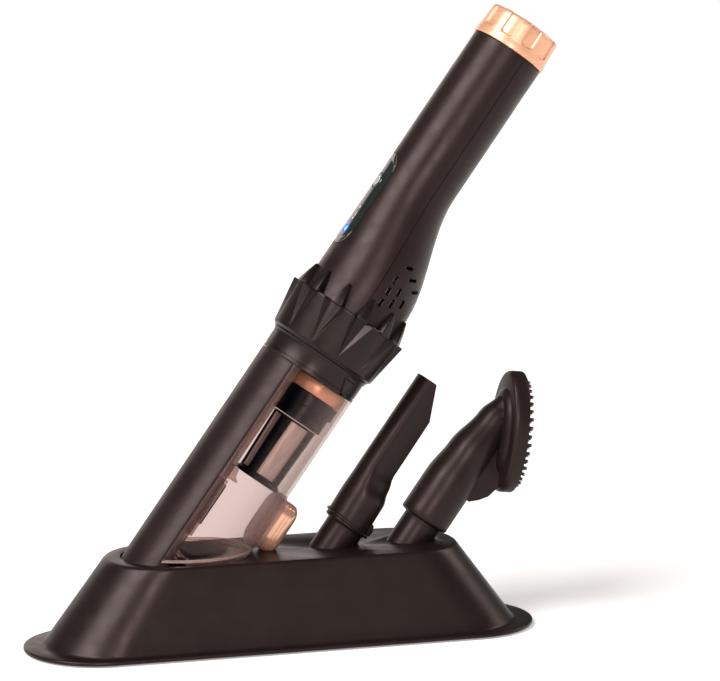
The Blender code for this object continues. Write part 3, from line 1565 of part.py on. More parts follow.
def main():
    build_stand()
    build_base()
    build_cradle()
    build_socket("crevice_socket", CREVICE)
    build_socket("brush_socket", BRUSH)
    build_duct()
    build_cup()
    build_latch()
    build_door()
    build_neck()
    build_filter()
    build_shells()
    build_panel()
    build_collar()
    build_cap()
    build_fan()
    build_battery()
    build_port()
    build_crevice()
    build_brush()


main()
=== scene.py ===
"""Looks of the cordless wand vacuum in its storage stand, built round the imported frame.

Pieces are modelled in millimetres in four local frames and baked into the row frame, in metres.
STAND is level, on the ground under the stand's middle. TUBE, CREVICE and BRUSH lean with what
stands in the stand: z along the tube, x on the dust-cup side and y across, from the stand's top.
"""

import json
from math import acos, atan2, copysign, cos, hypot, pi, radians, sin, sqrt, tan

import bmesh
import bpy
from mathutils import Matrix, Vector


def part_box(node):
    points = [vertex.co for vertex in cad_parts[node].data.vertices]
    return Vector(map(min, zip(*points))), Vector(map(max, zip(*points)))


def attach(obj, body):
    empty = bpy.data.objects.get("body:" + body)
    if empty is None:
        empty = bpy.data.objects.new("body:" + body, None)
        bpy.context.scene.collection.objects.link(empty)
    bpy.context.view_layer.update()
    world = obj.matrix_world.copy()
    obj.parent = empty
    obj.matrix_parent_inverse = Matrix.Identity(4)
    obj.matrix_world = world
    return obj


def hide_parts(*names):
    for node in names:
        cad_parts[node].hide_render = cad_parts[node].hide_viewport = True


MM = 0.001
TURN = 2 * pi
GAP = 0.3  # between pieces that touch, in millimetres as all sizes below
SMOOTH = 32  # edges are sharp from this angle, in degrees

# Stand
TOP_FILLET = 1.6
FLANGE_END = 10.5
FLANGE_SIDE = 3.2
FLANGE_LOW = 1.0
FLANGE_TOP = 3.5
STAND_END_SPREAD = 34.5
STAND_WALL_SPREAD = 5.5
STAND_WALL = 2.6
TOP_WALL = 2.5
WELL_PLAY = 0.8
TOOL_FROM_TUBE = 82.8
TOOL_PITCH = 44.2

# Tube, cup and filter
BODY = 28.6
CUP_WALL = 1.8
DUCT_HALF = radians(52)
DUCT_WALL = 2.0
DUCT_FACE = -9.5
DUCT_FLAT = 14
NOZZLE = 60
MOUTH_SLANT = radians(19)
OUTLET_LOW = 46
OUTLET_HEIGHT = 8
DOOR_LOW = -0.9
DOOR_THICK = 2.0
KNUCKLE_RADIUS = 1.9
KNUCKLE_HALF = 10.7
LATCH_LOW = 24
LATCH_HEIGHT = 30
LATCH_WIDTH = 16
LATCH_REACH = 39.5
LATCH_STEM = 26.5
POCKET_U = 22.6
POCKET_WALL = 1.3
POCKET_MARGIN = 1.8
NECK_LOW = 117.5
NECK_TOP = 130.0
CATCH_ANGLE = radians(61)
CATCH_SHARE = 0.42  # of the neck's height
FILTER_U = 9.3
FILTER_RADIUS = 16.6
FILTER_PLAY = 0.8
CONE_TOP = 13.3
CONE_LOW = 12.2
CONE_LENGTH = 36
WINDOW_FROM = radians(-89)
WINDOW_HALF = radians(31)

# Collar, housing and handle
COLLAR_LOW = 130.3
COLLAR_TOP = 157.3
COLLAR_LOW_RADIUS = 31.4
COLLAR_TOP_RADIUS = 35.3
COLLAR_BORE = 29.9
COLLAR_TEETH = 12
COLLAR_PHASE = radians(-94)
NOTCH_FLOOR_RADIUS = 31.6
NOTCH_HALF = 7
NOTCH_FLOOR_HALF = 3.7
NOTCH_LOW = 3.2
FIN_HEIGHT = 12.5
FIN_HALF = 4.3
FIN_PROUD = 3.2
SHELL_LOW = 133.0
SHELL_TOP = 323.0
SHELL_WALL = 2.2
SPLIT_U = -4
FLARE_LOW = 170.3
FLARE_LENGTH = 70
HANDLE_RADIUS = 20.8
HANDLE_U = HANDLE_RADIUS - BODY
CAP_LOW = 323.3
CAP_TOP = 340.8
CAP_RADIUS = HANDLE_RADIUS + 0.8
CAP_GRIPS = 10
CAP_BAND = 4.7
PANEL_LOW = 184.8
PANEL_LENGTH = 58
PANEL_HALF_WIDTH = BODY * radians(23) * 0.82
PANEL_THICK = 1.2
BUTTON_HEIGHT = PANEL_LOW + 0.7 * PANEL_LENGTH
LED_HEIGHT = PANEL_LOW + 9.5
BUTTON_RADIUS = 4.5
LED_RADIUS = 2.0
VENT_COLUMNS = 3
PORT_LENGTH = 24
PORT_WIDTH = 17
PORT_LOW = SHELL_TOP - 5 - PORT_LENGTH

# Tools
STUB_RADIUS = 10.9
STUB_DEPTH = 34
TOOL_WALL = 1.8
TIP_SLANT = radians(29)
HEAD_LENGTH = 68
HEAD_WIDTH = 42
HEAD_THICK = 9
HEAD_TILT = radians(61)
BRISTLE_LENGTH = 3
TUFT_PITCH = 3.9
TUFT_RADIUS = 0.55

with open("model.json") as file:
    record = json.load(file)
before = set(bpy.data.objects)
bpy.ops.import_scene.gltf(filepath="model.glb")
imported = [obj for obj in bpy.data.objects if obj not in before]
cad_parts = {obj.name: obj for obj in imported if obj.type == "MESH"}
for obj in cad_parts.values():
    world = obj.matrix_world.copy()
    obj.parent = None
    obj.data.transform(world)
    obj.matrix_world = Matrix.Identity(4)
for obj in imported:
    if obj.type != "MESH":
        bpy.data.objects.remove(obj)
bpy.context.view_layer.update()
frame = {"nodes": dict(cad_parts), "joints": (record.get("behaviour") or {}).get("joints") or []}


# ---- frames

def joint_axis(name):
    return Vector(next(j["axis"] for j in frame["joints"] if j["name"] == name)).normalized()


def tube_foot_x(top):
    """Where the tube's axis meets the stand's top: the motor shaft lies on that axis."""
    low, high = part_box("motor_shaft")
    middle = (low + high) / 2
    return middle.x - (middle.z - top) * tan(LEAN)


LIFT = joint_axis("vacuum_lift")
LEAN = atan2(LIFT.x, LIFT.z)
SLOPE = tan(LEAN)
STAND_LOW, STAND_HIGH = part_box("dock_shell")
TUBE_X = tube_foot_x(STAND_HIGH.z)
STAND_X = (STAND_LOW.x + STAND_HIGH.x) / 2
STAND_HEIGHT = STAND_HIGH.z / MM
FOOT_LENGTH = (STAND_HIGH.x - STAND_LOW.x) / MM - 2 * FLANGE_END
FOOT_WIDTH = (STAND_HIGH.y - STAND_LOW.y) / MM - 2 * FLANGE_SIDE


def tilted(place, angle):
    return Matrix.Translation(place) @ Matrix.Rotation(angle, 4, "Y")


def leaning(x):
    return tilted((x, 0, STAND_HIGH.z), LEAN)


STAND = Matrix.Translation((STAND_X, 0, 0))
TUBE = leaning(TUBE_X)
CREVICE = leaning(TUBE_X + TOOL_FROM_TUBE * MM)
BRUSH = leaning(TUBE_X + (TOOL_FROM_TUBE + TOOL_PITCH) * MM)


# ---- materials

class Graph:
    """Short calls for one material's nodes. Textures use the piece's own coordinates, in metres."""

    def __init__(self, name, slot):
        self.look = bpy.data.materials.new(name)
        self.look.use_nodes = True
        self.look["of_slot"] = slot
        self.tree = self.look.node_tree
        self.shader = self.tree.nodes["Principled BSDF"]
        self.place = self.add("ShaderNodeTexCoord").outputs["Object"]

    def add(self, kind, **values):
        node = self.tree.nodes.new(kind)
        for key, value in values.items():
            setattr(node, key, value)
        return node

    def link(self, source, target):
        self.tree.links.new(source, target)

    def stretched(self, scale):
        mapping = self.add("ShaderNodeMapping")
        mapping.inputs["Rotation"].default_value = (0, -LEAN, 0)
        mapping.inputs["Scale"].default_value = scale
        self.link(self.place, mapping.inputs["Vector"])
        return mapping.outputs["Vector"]

    def noise(self, scale, detail=3.0, vector=None):
        node = self.add("ShaderNodeTexNoise")
        node.inputs["Scale"].default_value = scale
        node.inputs["Detail"].default_value = detail
        self.link(vector or self.place, node.inputs["Vector"])
        return node.outputs["Fac"]

    def ranged(self, source, low, high, from_low=0.3, from_high=0.7):
        node = self.add("ShaderNodeMapRange")
        limits = {"From Min": from_low, "From Max": from_high, "To Min": low, "To Max": high}
        for key, value in limits.items():
            node.inputs[key].default_value = value
        self.link(source, node.inputs["Value"])
        return node.outputs["Result"]

    def colours(self, source, low, high, from_low=0.35, from_high=0.65):
        node = self.add("ShaderNodeValToRGB")
        first, last = node.color_ramp.elements
        first.position, last.position = from_low, from_high
        first.color, last.color = (*low, 1), (*high, 1)
        self.link(source, node.inputs["Fac"])
        self.link(node.outputs["Color"], self.shader.inputs["Base Color"])

    def bump(self, source, strength, distance):
        node = self.add("ShaderNodeBump")
        node.inputs["Strength"].default_value = strength
        node.inputs["Distance"].default_value = distance
        self.link(source, node.inputs["Height"])
        self.link(node.outputs["Normal"], self.shader.inputs["Normal"])

    def constant(self, **values):
        for key, value in values.items():
            self.shader.inputs[key.replace("_", " ")].default_value = value


def varied(colour, share):
    return tuple(c * (1 - share) for c in colour), tuple(min(1, c * (1 + share)) for c in colour)


def moulded(name, slot, colour, roughness, spread=0.05, grain=1400, depth=0.00004, **more):
    """Moulded plastic or rubber: a fine spark-eroded grain, with faint clouding in gloss and colour."""
    graph = Graph(name, slot)
    graph.constant(**more)
    graph.colours(graph.noise(55), *varied(colour, 0.12))
    cloud = graph.noise(130, 4)
    graph.link(graph.ranged(cloud, roughness - spread, roughness + spread), graph.shader.inputs["Roughness"])
    graph.bump(graph.noise(grain, 2), 0.25, depth)
    return graph.look


def metal(name, slot, colour, roughness, stretch, depth=0.00003, metallic=1.0, **more):
    """Metal or metallised plastic with fine turned lines along the stretched direction."""
    graph = Graph(name, slot)
    graph.constant(Metallic=metallic, **more)
    lines = graph.noise(1, 3, graph.stretched(stretch))
    graph.colours(lines, *varied(colour, 0.07))
    graph.link(graph.ranged(lines, roughness - 0.05, roughness + 0.07), graph.shader.inputs["Roughness"])
    graph.bump(lines, 0.2, depth)
    return graph.look


def clear(name, colour, tint, face, edge, roughness=0.07, blend=0.4):
    """Tinted clear plastic: it passes the tint straight on, and shows its own colour at its edges."""
    graph = Graph(name, "smoked_clear")
    graph.constant(IOR=1.45)
    weight = graph.add("ShaderNodeLayerWeight")
    weight.inputs["Blend"].default_value = blend
    opacity = graph.ranged(weight.outputs["Facing"], face, edge, 0.0, 1.0)
    passed = graph.add("ShaderNodeBsdfTransparent")
    passed.inputs["Color"].default_value = (*tint, 1)
    mixed = graph.add("ShaderNodeMixShader")
    graph.link(opacity, mixed.inputs[0])
    graph.link(passed.outputs[0], mixed.inputs[1])
    graph.link(graph.shader.outputs[0], mixed.inputs[2])
    output = next(n for n in graph.tree.nodes if n.type == "OUTPUT_MATERIAL")
    graph.link(mixed.outputs[0], output.inputs["Surface"])
    graph.colours(graph.noise(30), *varied(colour, 0.04))
    graph.link(graph.ranged(graph.noise(90), roughness, roughness + 0.05), graph.shader.inputs["Roughness"])
    return graph.look


def woven(name, colour, roughness, pitch):
    """Etched metal gauze: two sets of fine lines that cross."""
    graph = Graph(name, "filter_mesh")
    graph.constant(Metallic=0.2)
    waves = []
    for axis in ("Y", "Z"):
        wave = graph.add("ShaderNodeTexWave", bands_direction=axis)
        wave.inputs["Scale"].default_value = 1 / pitch / 3.2
        graph.link(graph.stretched((1, 1, 1)), wave.inputs["Vector"])
        waves.append(wave.outputs["Fac"])
    crossed = graph.add("ShaderNodeMath", operation="MULTIPLY")
    graph.link(waves[0], crossed.inputs[0])
    graph.link(waves[1], crossed.inputs[1])
    graph.colours(crossed.outputs["Value"], tuple(0.8 * c for c in colour), colour, 0.1, 0.5)
    graph.link(
        graph.ranged(graph.noise(200), roughness - 0.05, roughness + 0.08), graph.shader.inputs["Roughness"]
    )
    graph.bump(crossed.outputs["Value"], 0.3, 0.00003)
    return graph.look


def glowing(name, colour, strength):
    graph = Graph(name, "blue_led")
    graph.constant(Roughness=0.2, Emission_Strength=strength)
    graph.shader.inputs["Emission Color"].default_value = (*colour, 1)
    graph.colours(graph.noise(900), *varied(colour, 0.1))
    graph.bump(graph.noise(700), 0.1, 0.00003)
    return graph.look


WARM = (1.0, 0.80, 0.76, 1)  # the brown cast of the plastic's highlights
SATIN = moulded("satin_dark_plastic", "satin_dark_plastic", (0.0135, 0.0080, 0.0074), 0.37,
                Specular_IOR_Level=0.21, Specular_Tint=WARM)
DOCK = moulded("satin_dock_plastic", "satin_dark_plastic", (0.0105, 0.0064, 0.0058), 0.36,
               Specular_IOR_Level=0.24, Specular_Tint=WARM)
COLLAR = moulded("gloss_collar_plastic", "satin_dark_plastic", (0.0080, 0.0052, 0.0048), 0.34,
                 depth=0.00002, Specular_IOR_Level=0.26, Specular_Tint=WARM)
INNER = moulded("inner_dark_plastic", "satin_dark_plastic", (0.012, 0.010, 0.010), 0.5)
NAVY = moulded("navy_filter_plastic", "satin_dark_plastic", (0.0030, 0.0042, 0.0075), 0.3,
               Specular_IOR_Level=0.16)
PANEL = moulded("gloss_panel", "gloss_panel", (0.012, 0.017, 0.016), 0.10, spread=0.03, depth=0.00001)
BEZEL = moulded("panel_bezel", "gloss_panel", (0.060, 0.042, 0.034), 0.22)
MARK = moulded("panel_mark", "gloss_panel", (0.62, 0.64, 0.64), 0.45)
RUBBER = moulded("black_rubber", "black_rubber", (0.009, 0.008, 0.009), 0.6, grain=900, depth=0.00006)
SEAL = moulded("door_seal_rubber", "black_rubber", (0.0045, 0.0055, 0.0090), 0.5, Specular_IOR_Level=0.12)
BRISTLE = moulded("bristle", "bristle", (0.010, 0.009, 0.009), 0.6, grain=2600)
PAPER = moulded("filter_paper", "filter_paper", (0.70, 0.68, 0.64), 0.9, grain=1800, depth=0.0001)
CELL = moulded("cell_wrap", "cell_wrap", (0.05, 0.16, 0.42), 0.4)
BOARD = moulded("circuit_board", "circuit_board", (0.02, 0.12, 0.05), 0.45)
GOLD = metal("rose_gold", "rose_gold", (0.74, 0.385, 0.235), 0.33, (40, 40, 900), depth=0.000003,
             metallic=0.35)
GLOSS_GOLD = metal("rose_gold_gloss", "rose_gold", (0.84, 0.48, 0.32), 0.22, (120, 60, 120), depth=0.000002,
                   metallic=0.55)
STEEL = metal("steel", "steel", (0.56, 0.56, 0.57), 0.3, (80, 80, 2400))
GAUZE = woven("filter_mesh", (0.58, 0.47, 0.44), 0.36, 0.0006)
CLEAR = clear("smoked_clear", (0.40, 0.30, 0.28), (0.890, 0.838, 0.824), 0.0, 0.55, blend=0.3)
PARTITION = clear("smoked_partition", (0.30, 0.22, 0.21), (0.90, 0.80, 0.78), 0.30, 0.75)
POCKET = clear("smoked_pocket", (0.44, 0.31, 0.28), (0.88, 0.78, 0.75), 0.30, 0.85)
RIM = clear("smoked_rim", (0.66, 0.50, 0.47), (0.95, 0.86, 0.84), 0.25, 0.8)
LED = glowing("blue_led", (0.05, 0.25, 0.95), 3.0)
GLOW = glowing("blue_glow", (0.012, 0.08, 0.36), 0.5)


# ---- mesh helpers

def placed(bm, rings):
    return [[bm.verts.new(point) for point in ring] for ring in rings]


def bridge(bm, loops):
    """Faces between each closed loop of vertices and the next one."""
    for lower, upper in zip(loops, loops[1:]):
        for i in range(len(lower)):
            j = (i + 1) % len(lower)
            bm.faces.new((lower[i], lower[j], upper[j], upper[i]))


def loft(*many, into=None):
    """Surfaces through closed loops of equally many points, closed at both ends."""
    bm = into or bmesh.new()
    for rings in many:
        loops = placed(bm, rings)
        bridge(bm, loops)
        bm.faces.new(loops[0][::-1])
        bm.faces.new(loops[-1])
    return bm


def looped(*many):
    """Surfaces through loops that themselves go round and meet, such as a tube's walls."""
    bm = bmesh.new()
    for rings in many:
        loops = placed(bm, rings)
        bridge(bm, loops + loops[:1])
    return bm


def polar(radius, angle, centre=0.0):
    return centre + radius * cos(angle), radius * sin(angle)


def turned(profile, centre=0.0, steps=96):
    """A closed (radius, height) profile turned about the line along z at u = centre."""
    bm = bmesh.new()
    rings = placed(bm, [
        [(*polar(radius, TURN * i / steps, centre), height) for i in range(steps if radius else 1)]
        for radius, height in profile
    ])
    for first, second in zip(rings, rings[1:] + rings[:1]):
        if len(first) == 1 and len(second) == 1:
            continue
        for i in range(steps):
            j = (i + 1) % steps
            corners = [first[i % len(first)], first[j % len(first)]]
            corners += [second[j % len(second)], second[i % len(second)]]
            bm.faces.new(list(dict.fromkeys(corners)))
    return bm


def cylinder(radius, low, high, centre=0.0, steps=96):
    return turned([(0, low), (radius, low), (radius, high), (0, high)], centre, steps)


def moved(bm, matrix):
    bmesh.ops.transform(bm, matrix=matrix, verts=bm.verts)
    return bm


def block(low, high):
    bm = bmesh.new()
    size = Vector(high) - Vector(low)
    middle = (Vector(high) + Vector(low)) / 2
    bmesh.ops.create_cube(bm, size=1.0, matrix=Matrix.Translation(middle) @ Matrix.Diagonal((*size, 1)))
    return bm


def beads(loops, radius, sides=8):
    """Round beads that follow closed loops of points."""
    made = []
    for points in loops:
        rings = []
        for i, point in enumerate(points):
            along = (points[(i + 1) % len(points)] - points[i - 1]).normalized()
            across = along.cross(Vector((0.31, 0.87, 0.38))).normalized()
            out = along.cross(across)
            rings.append([point + across * x + out * y for x, y in circle(radius, steps=sides)])
        made.append(rings)
    return looped(*made)


def arc(radius, start, end, steps, centre=0.0):
    return [polar(radius, start + (end - start) * i / steps, centre) for i in range(steps + 1)]


def circle(radius, centre=0.0, steps=72):
    return ellipse(radius, radius, steps, (centre, 0))


def ellipse(half_length, half_width, steps=96, middle=(0, 0)):
    return [
        (middle[0] + half_length * x, middle[1] + half_width * y)
        for x, y in (polar(1, TURN * i / steps) for i in range(steps))
    ]


def oblong(left, right, low, high):
    return [(left, low), (right, low), (right, high), (left, high)]


def stadium(length, width, steps=24, straight_steps=12):
    """A slot outline with round ends, with its straight sides divided as well."""
    radius = width / 2
    straight = length / 2 - radius
    points = []
    for side in (1, -1):
        start = -TURN / 4 * side
        points += [
            (side * straight + radius * cos(start + TURN / 2 * i / steps),
             radius * sin(start + TURN / 2 * i / steps))
            for i in range(steps + 1)
        ]
        points += [
            (side * straight * (1 - 2 * i / straight_steps), side * radius) for i in range(1, straight_steps)
        ]
    return points


def level(outline, height):
    return [(u, v, height) for u, v in outline]


def extruded(outline, *places):
    """The (u, w) outline at each v."""
    return [[(u, v, w) for u, w in outline] for v in places]


def slanted(outline, offset, slope=SLOPE):
    """The outline on a plane that rises with u; SLOPE is level when the tube leans."""
    return [(u, v, offset + slope * u) for u, v in outline]


def between(first, last, share):
    return [Vector(a).lerp(Vector(b), share) for a, b in zip(first, last)]


def smoothstep(value):
    value = min(max(value, 0), 1)
    return value * value * (3 - 2 * value)


def stations_between(stations, step):
    """More (height, ...) stations, eased between the given ones, about one step apart."""
    made = [stations[0]]
    for first, last in zip(stations, stations[1:]):
        count = max(1, round((last[0] - first[0]) / step))
        for i in range(1, count + 1):
            share = smoothstep(i / count)
            height = first[0] + (last[0] - first[0]) * i / count
            made.append((height, *(a + (b - a) * share for a, b in zip(first[1:], last[1:]))))
    return made


def settle(obj):
    """Applies the object's modifiers to its mesh."""
    graph = bpy.context.evaluated_depsgraph_get()
    made = bpy.data.meshes.new_from_object(obj.evaluated_get(graph))
    obj.modifiers.clear()
    old, obj.data = obj.data, made
    bpy.data.meshes.remove(old)


def solid(bm, name="working"):
    bmesh.ops.recalc_face_normals(bm, faces=bm.faces)
    mesh = bpy.data.meshes.new(name)
    bm.to_mesh(mesh)
    bm.free()
    obj = bpy.data.objects.new(name, mesh)
    bpy.context.collection.objects.link(obj)
    return obj


def combined(bm, operation, *others):
    """The solid with others cut from it or joined to it."""
    obj = solid(bm) if isinstance(bm, bmesh.types.BMesh) else bm
    tools = [solid(other) for other in others]
    for tool in tools:
        change = obj.modifiers.new("combine", "BOOLEAN")
        change.operation = operation
        change.solver = "EXACT"
        change.object = tool
    settle(obj)
    for tool in tools:
        bpy.data.objects.remove(tool)
    return obj


def dress(mesh, look, smooth=SMOOTH):
    """Gives a mesh its finish, with edges sharp from an angle of so many degrees."""
    mesh.shade_smooth()
    mesh.set_sharp_from_angle(angle=radians(smooth))
    mesh.materials.clear()
    mesh.materials.append(look)


def piece(name, made, look, body, replaced=(), at=TUBE, bevel=0.0, smooth=SMOOTH):
    """Finishes a modelled solid as a piece that rides on a body, in place of the CAD nodes replaced."""
    obj = solid(made) if isinstance(made, bmesh.types.BMesh) else made
    if bevel:
        edge = obj.modifiers.new("edge", "BEVEL")
        edge.width = bevel
        edge.segments = 2
        edge.limit_method = "ANGLE"
        edge.angle_limit = radians(smooth)
        settle(obj)
    obj.name = name
    obj.data.name = name
    obj.data.transform(at @ Matrix.Scale(MM, 4))
    dress(obj.data, look, smooth)
    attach(obj, body)
    if replaced:
        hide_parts(*replaced)


# ---- stand

def wall(height, inset=0.0):
    share = (height - FLANGE_TOP) / (STAND_HEIGHT - FLANGE_TOP)
    length = FOOT_LENGTH - 2 * STAND_END_SPREAD * share
    width = FOOT_WIDTH - 2 * STAND_WALL_SPREAD * share
    return level(stadium(length - 2 * inset, width - 2 * inset, 36), height)


def build_stand():
    flange = (FOOT_LENGTH + 2 * FLANGE_END, FOOT_WIDTH + 2 * FLANGE_SIDE)
    rings = []
    for drop, inset in ((0, 0.35), (0.35, 0), (1.6, 0), (2.1, 0.3), (2.35, 0.9)):
        rings.append(level(stadium(flange[0] - 2 * inset, flange[1] - 2 * inset, 36), FLANGE_LOW + drop))
    for i in range(5):
        share = i / 4
        rings.append(wall(FLANGE_TOP + 1.6 * share * share, inset=-1.6 * (1 - share) ** 2))
    body = STAND_HEIGHT - TOP_FILLET
    rings += [wall(FLANGE_TOP + 1.6 + (body - FLANGE_TOP - 1.6) * i / 8) for i in range(1, 9)]
    rings += [wall(body + y, inset=TOP_FILLET - x) for x, y in arc(TOP_FILLET, 0, TURN / 4, 6)[1:]]
    hollow = loft([
        [(x, y, FLANGE_LOW - 1) for x, y, _ in wall(FLANGE_TOP, STAND_WALL)],
        wall(FLANGE_TOP, STAND_WALL),
        wall(STAND_HEIGHT - TOP_WALL, STAND_WALL),
    ])
    tube_x = (TUBE_X - STAND_X) / MM
    outline = ellipse((BODY + WELL_PLAY) / cos(LEAN), BODY + WELL_PLAY)
    well = loft([
        [(x + tube_x + rise * tan(LEAN), y, STAND_HEIGHT + rise) for x, y in outline]
        for rise in (-3 * TOP_WALL, 1)
    ])
    holes = []
    for x in (tube_x + TOOL_FROM_TUBE, tube_x + TOOL_FROM_TUBE + TOOL_PITCH):
        hole = cylinder(STUB_RADIUS + 0.4, -12, 12, steps=72)
        holes.append(moved(hole, tilted((x, 0, STAND_HEIGHT), LEAN)))
    shell = combined(loft(rings), "DIFFERENCE", hollow, well, *holes)
    piece("stand_shell", shell, DOCK, "dock", ["dock_shell"], at=STAND, bevel=0.35)


# ---- nozzle duct and dust cup

def mouth(outline):
    offset = -NOZZLE + BODY * tan(MOUTH_SLANT)
    return slanted(outline, offset, tan(MOUTH_SLANT))


def build_duct():
    inner = BODY - DUCT_WALL
    inner_half = DUCT_HALF - 1.04 * DUCT_WALL / BODY
    top = NECK_LOW - GAP
    shell = arc(BODY, pi - DUCT_HALF, pi + DUCT_HALF, 48)
    shell += arc(inner, pi + inner_half, pi - inner_half, 48)
    ends = mouth(shell), level(shell, top)
    body = loft([between(*ends, i / 60) for i in range(61)])
    piece("duct_shell", body, SATIN, "cup", ["nozzle_duct"], bevel=0.25)

    face, flat = DUCT_FACE, DUCT_FLAT
    back, narrow = face - DUCT_WALL, flat - DUCT_WALL / 2
    chord = [polar(BODY - 0.05, pi - DUCT_HALF), (face, flat), (face, -flat)]
    chord += [polar(BODY - 0.05, pi + DUCT_HALF), polar(inner, pi + inner_half)]
    chord += [(back, -narrow), (back, narrow), polar(inner, pi - inner_half)]
    partition = loft([mouth(chord), level(chord, top)])
    outlet = block((face - 6, 3 - flat, OUTLET_LOW), (face + 3, flat - 3, OUTLET_LOW + OUTLET_HEIGHT))
    cut = combined(partition, "DIFFERENCE", outlet)
    piece("duct_partition", cut, PARTITION, "cup", bevel=0.4)

    lip = [(-9.3, 54.4), (-7.4, 55.2), (-5.6, 53.6), (-5.0, 50.8), (-4.6, 49.3), (-2.6, 48.0)]
    lip += [(-2.8, 46.9), (-6.6, 47.0), (-9.3, 46.2)]
    half = flat - 2.4
    lip = loft(extruded(lip, -half, -half * 0.5, 0, half * 0.5, half))
    piece("outlet_lip", lip, RIM, "cup", bevel=0.5)
    strip = block((face + 0.05, -flat, 10), (face + 1.6, flat, OUTLET_LOW - 0.4))
    piece("outlet_flap_back", strip, RIM, "cup", bevel=0.4)
    flap = block((face + 1.8, -flat + 1, 18), (face + 2.5, flat - 1, OUTLET_LOW - 3))
    piece("outlet_flap", flap, SEAL, "cup", bevel=0.2)


def cup_outline(outer, inner, margin=0.6, steps=96):
    half = pi - DUCT_HALF - margin / BODY
    end = half - 1.6 / BODY
    return arc(outer, -half, half, steps) + arc(inner, end, -end, steps)


def rounded_slot(u, margin):
    """The latch's slot outline at u, grown by a margin."""
    middle = LATCH_LOW + LATCH_HEIGHT / 2
    outline = stadium(LATCH_HEIGHT + 2 * margin, LATCH_WIDTH + 2 * margin, 20, 6)
    return [(u, y, middle + x) for x, y in outline]


def build_cup():
    bottom = (DOOR_LOW + DOOR_THICK + GAP) / cos(LEAN)
    outline = cup_outline(BODY, BODY - CUP_WALL)
    ends = slanted(outline, bottom), level(outline, NECK_LOW - GAP)
    wall_mesh = loft([between(*ends, i / 40) for i in range(41)])
    window = loft([rounded_slot(u, POCKET_MARGIN + GAP) for u in (15, BODY + 5)])
    cup = combined(wall_mesh, "DIFFERENCE", window)
    piece("cup_wall", cup, CLEAR, "cup", ["dust_cup"], bevel=0.3)

    rim = cup_outline(BODY + 0.02, BODY - CUP_WALL - 0.5)
    rings = [slanted(rim, bottom + offset) for offset in (0.1, 0.5, 1.1, 1.6)]
    piece("cup_bottom_rim", loft(rings), RIM, "cup", bevel=0.25)
    seams = []
    for side in (-1, 1):
        u, v = polar(BODY - 0.35, side * (pi - DUCT_HALF - 0.15 / BODY))
        bar = ellipse(0.3, 0.3, 8, (u, v))
        seams.append([level(bar, bottom + SLOPE * u), level(bar, NECK_LOW - 2 * GAP)])
    piece("cup_seams", loft(*seams), SEAL, "cup")


def build_pocket():
    margin = POCKET_MARGIN
    outer_u, inner_u = BODY + 0.6, POCKET_U
    outer = [(outer_u, margin), (outer_u - 0.5, margin + 0.1), (inner_u + 2.5, margin)]
    outer += [(inner_u + 1.0, margin - 0.4), (inner_u + 0.25, margin - 1.2), (inner_u, margin - 2.4)]
    inner = [(inner_u + POCKET_WALL, margin - 3.2), (inner_u + 1.7, margin - POCKET_WALL - 0.2)]
    inner += [(outer_u, margin - POCKET_WALL)]
    rings = [rounded_slot(u, grow) for u, grow in outer]
    bowl = [rounded_slot(u, grow) for u, grow in inner]
    piece("latch_pocket_shell", loft_bowl(rings, bowl), POCKET, "cup", ["latch_pocket"])


def loft_bowl(outer, inner):
    """A bowl: outer loops from the lip to the bottom, inner loops from the floor back to the lip."""
    bm = bmesh.new()
    outside, inside = placed(bm, outer), placed(bm, inner)
    bridge(bm, outside)
    bridge(bm, inside)
    bridge(bm, [inside[-1], outside[0]])
    bm.faces.new(outside[-1])
    bm.faces.new(inside[0])
    return bm


def build_latch():
    profile = [(LATCH_STEM, -0.7), (LATCH_STEM + 0.6, 0), (LATCH_REACH - 3.6, 0)]
    profile += [(LATCH_REACH - 3.6 + y, x - 3.6) for x, y in arc(3.6, 0, TURN / 4, 7)[1:]]
    profile += [(LATCH_REACH - 0.35, -5.2), (LATCH_REACH - 0.6, -6.2)]
    button = loft([rounded_slot(u, grow) for u, grow in profile])
    piece("latch_button", button, GLOSS_GOLD, "bin_latch", ["bin_latch"])
    grooves = [[Vector(p) for p in rounded_slot(LATCH_REACH - back, 0)] for back in (5.2, 7.0)]
    piece("latch_button_beads", beads(grooves, 0.22), GOLD, "bin_latch")


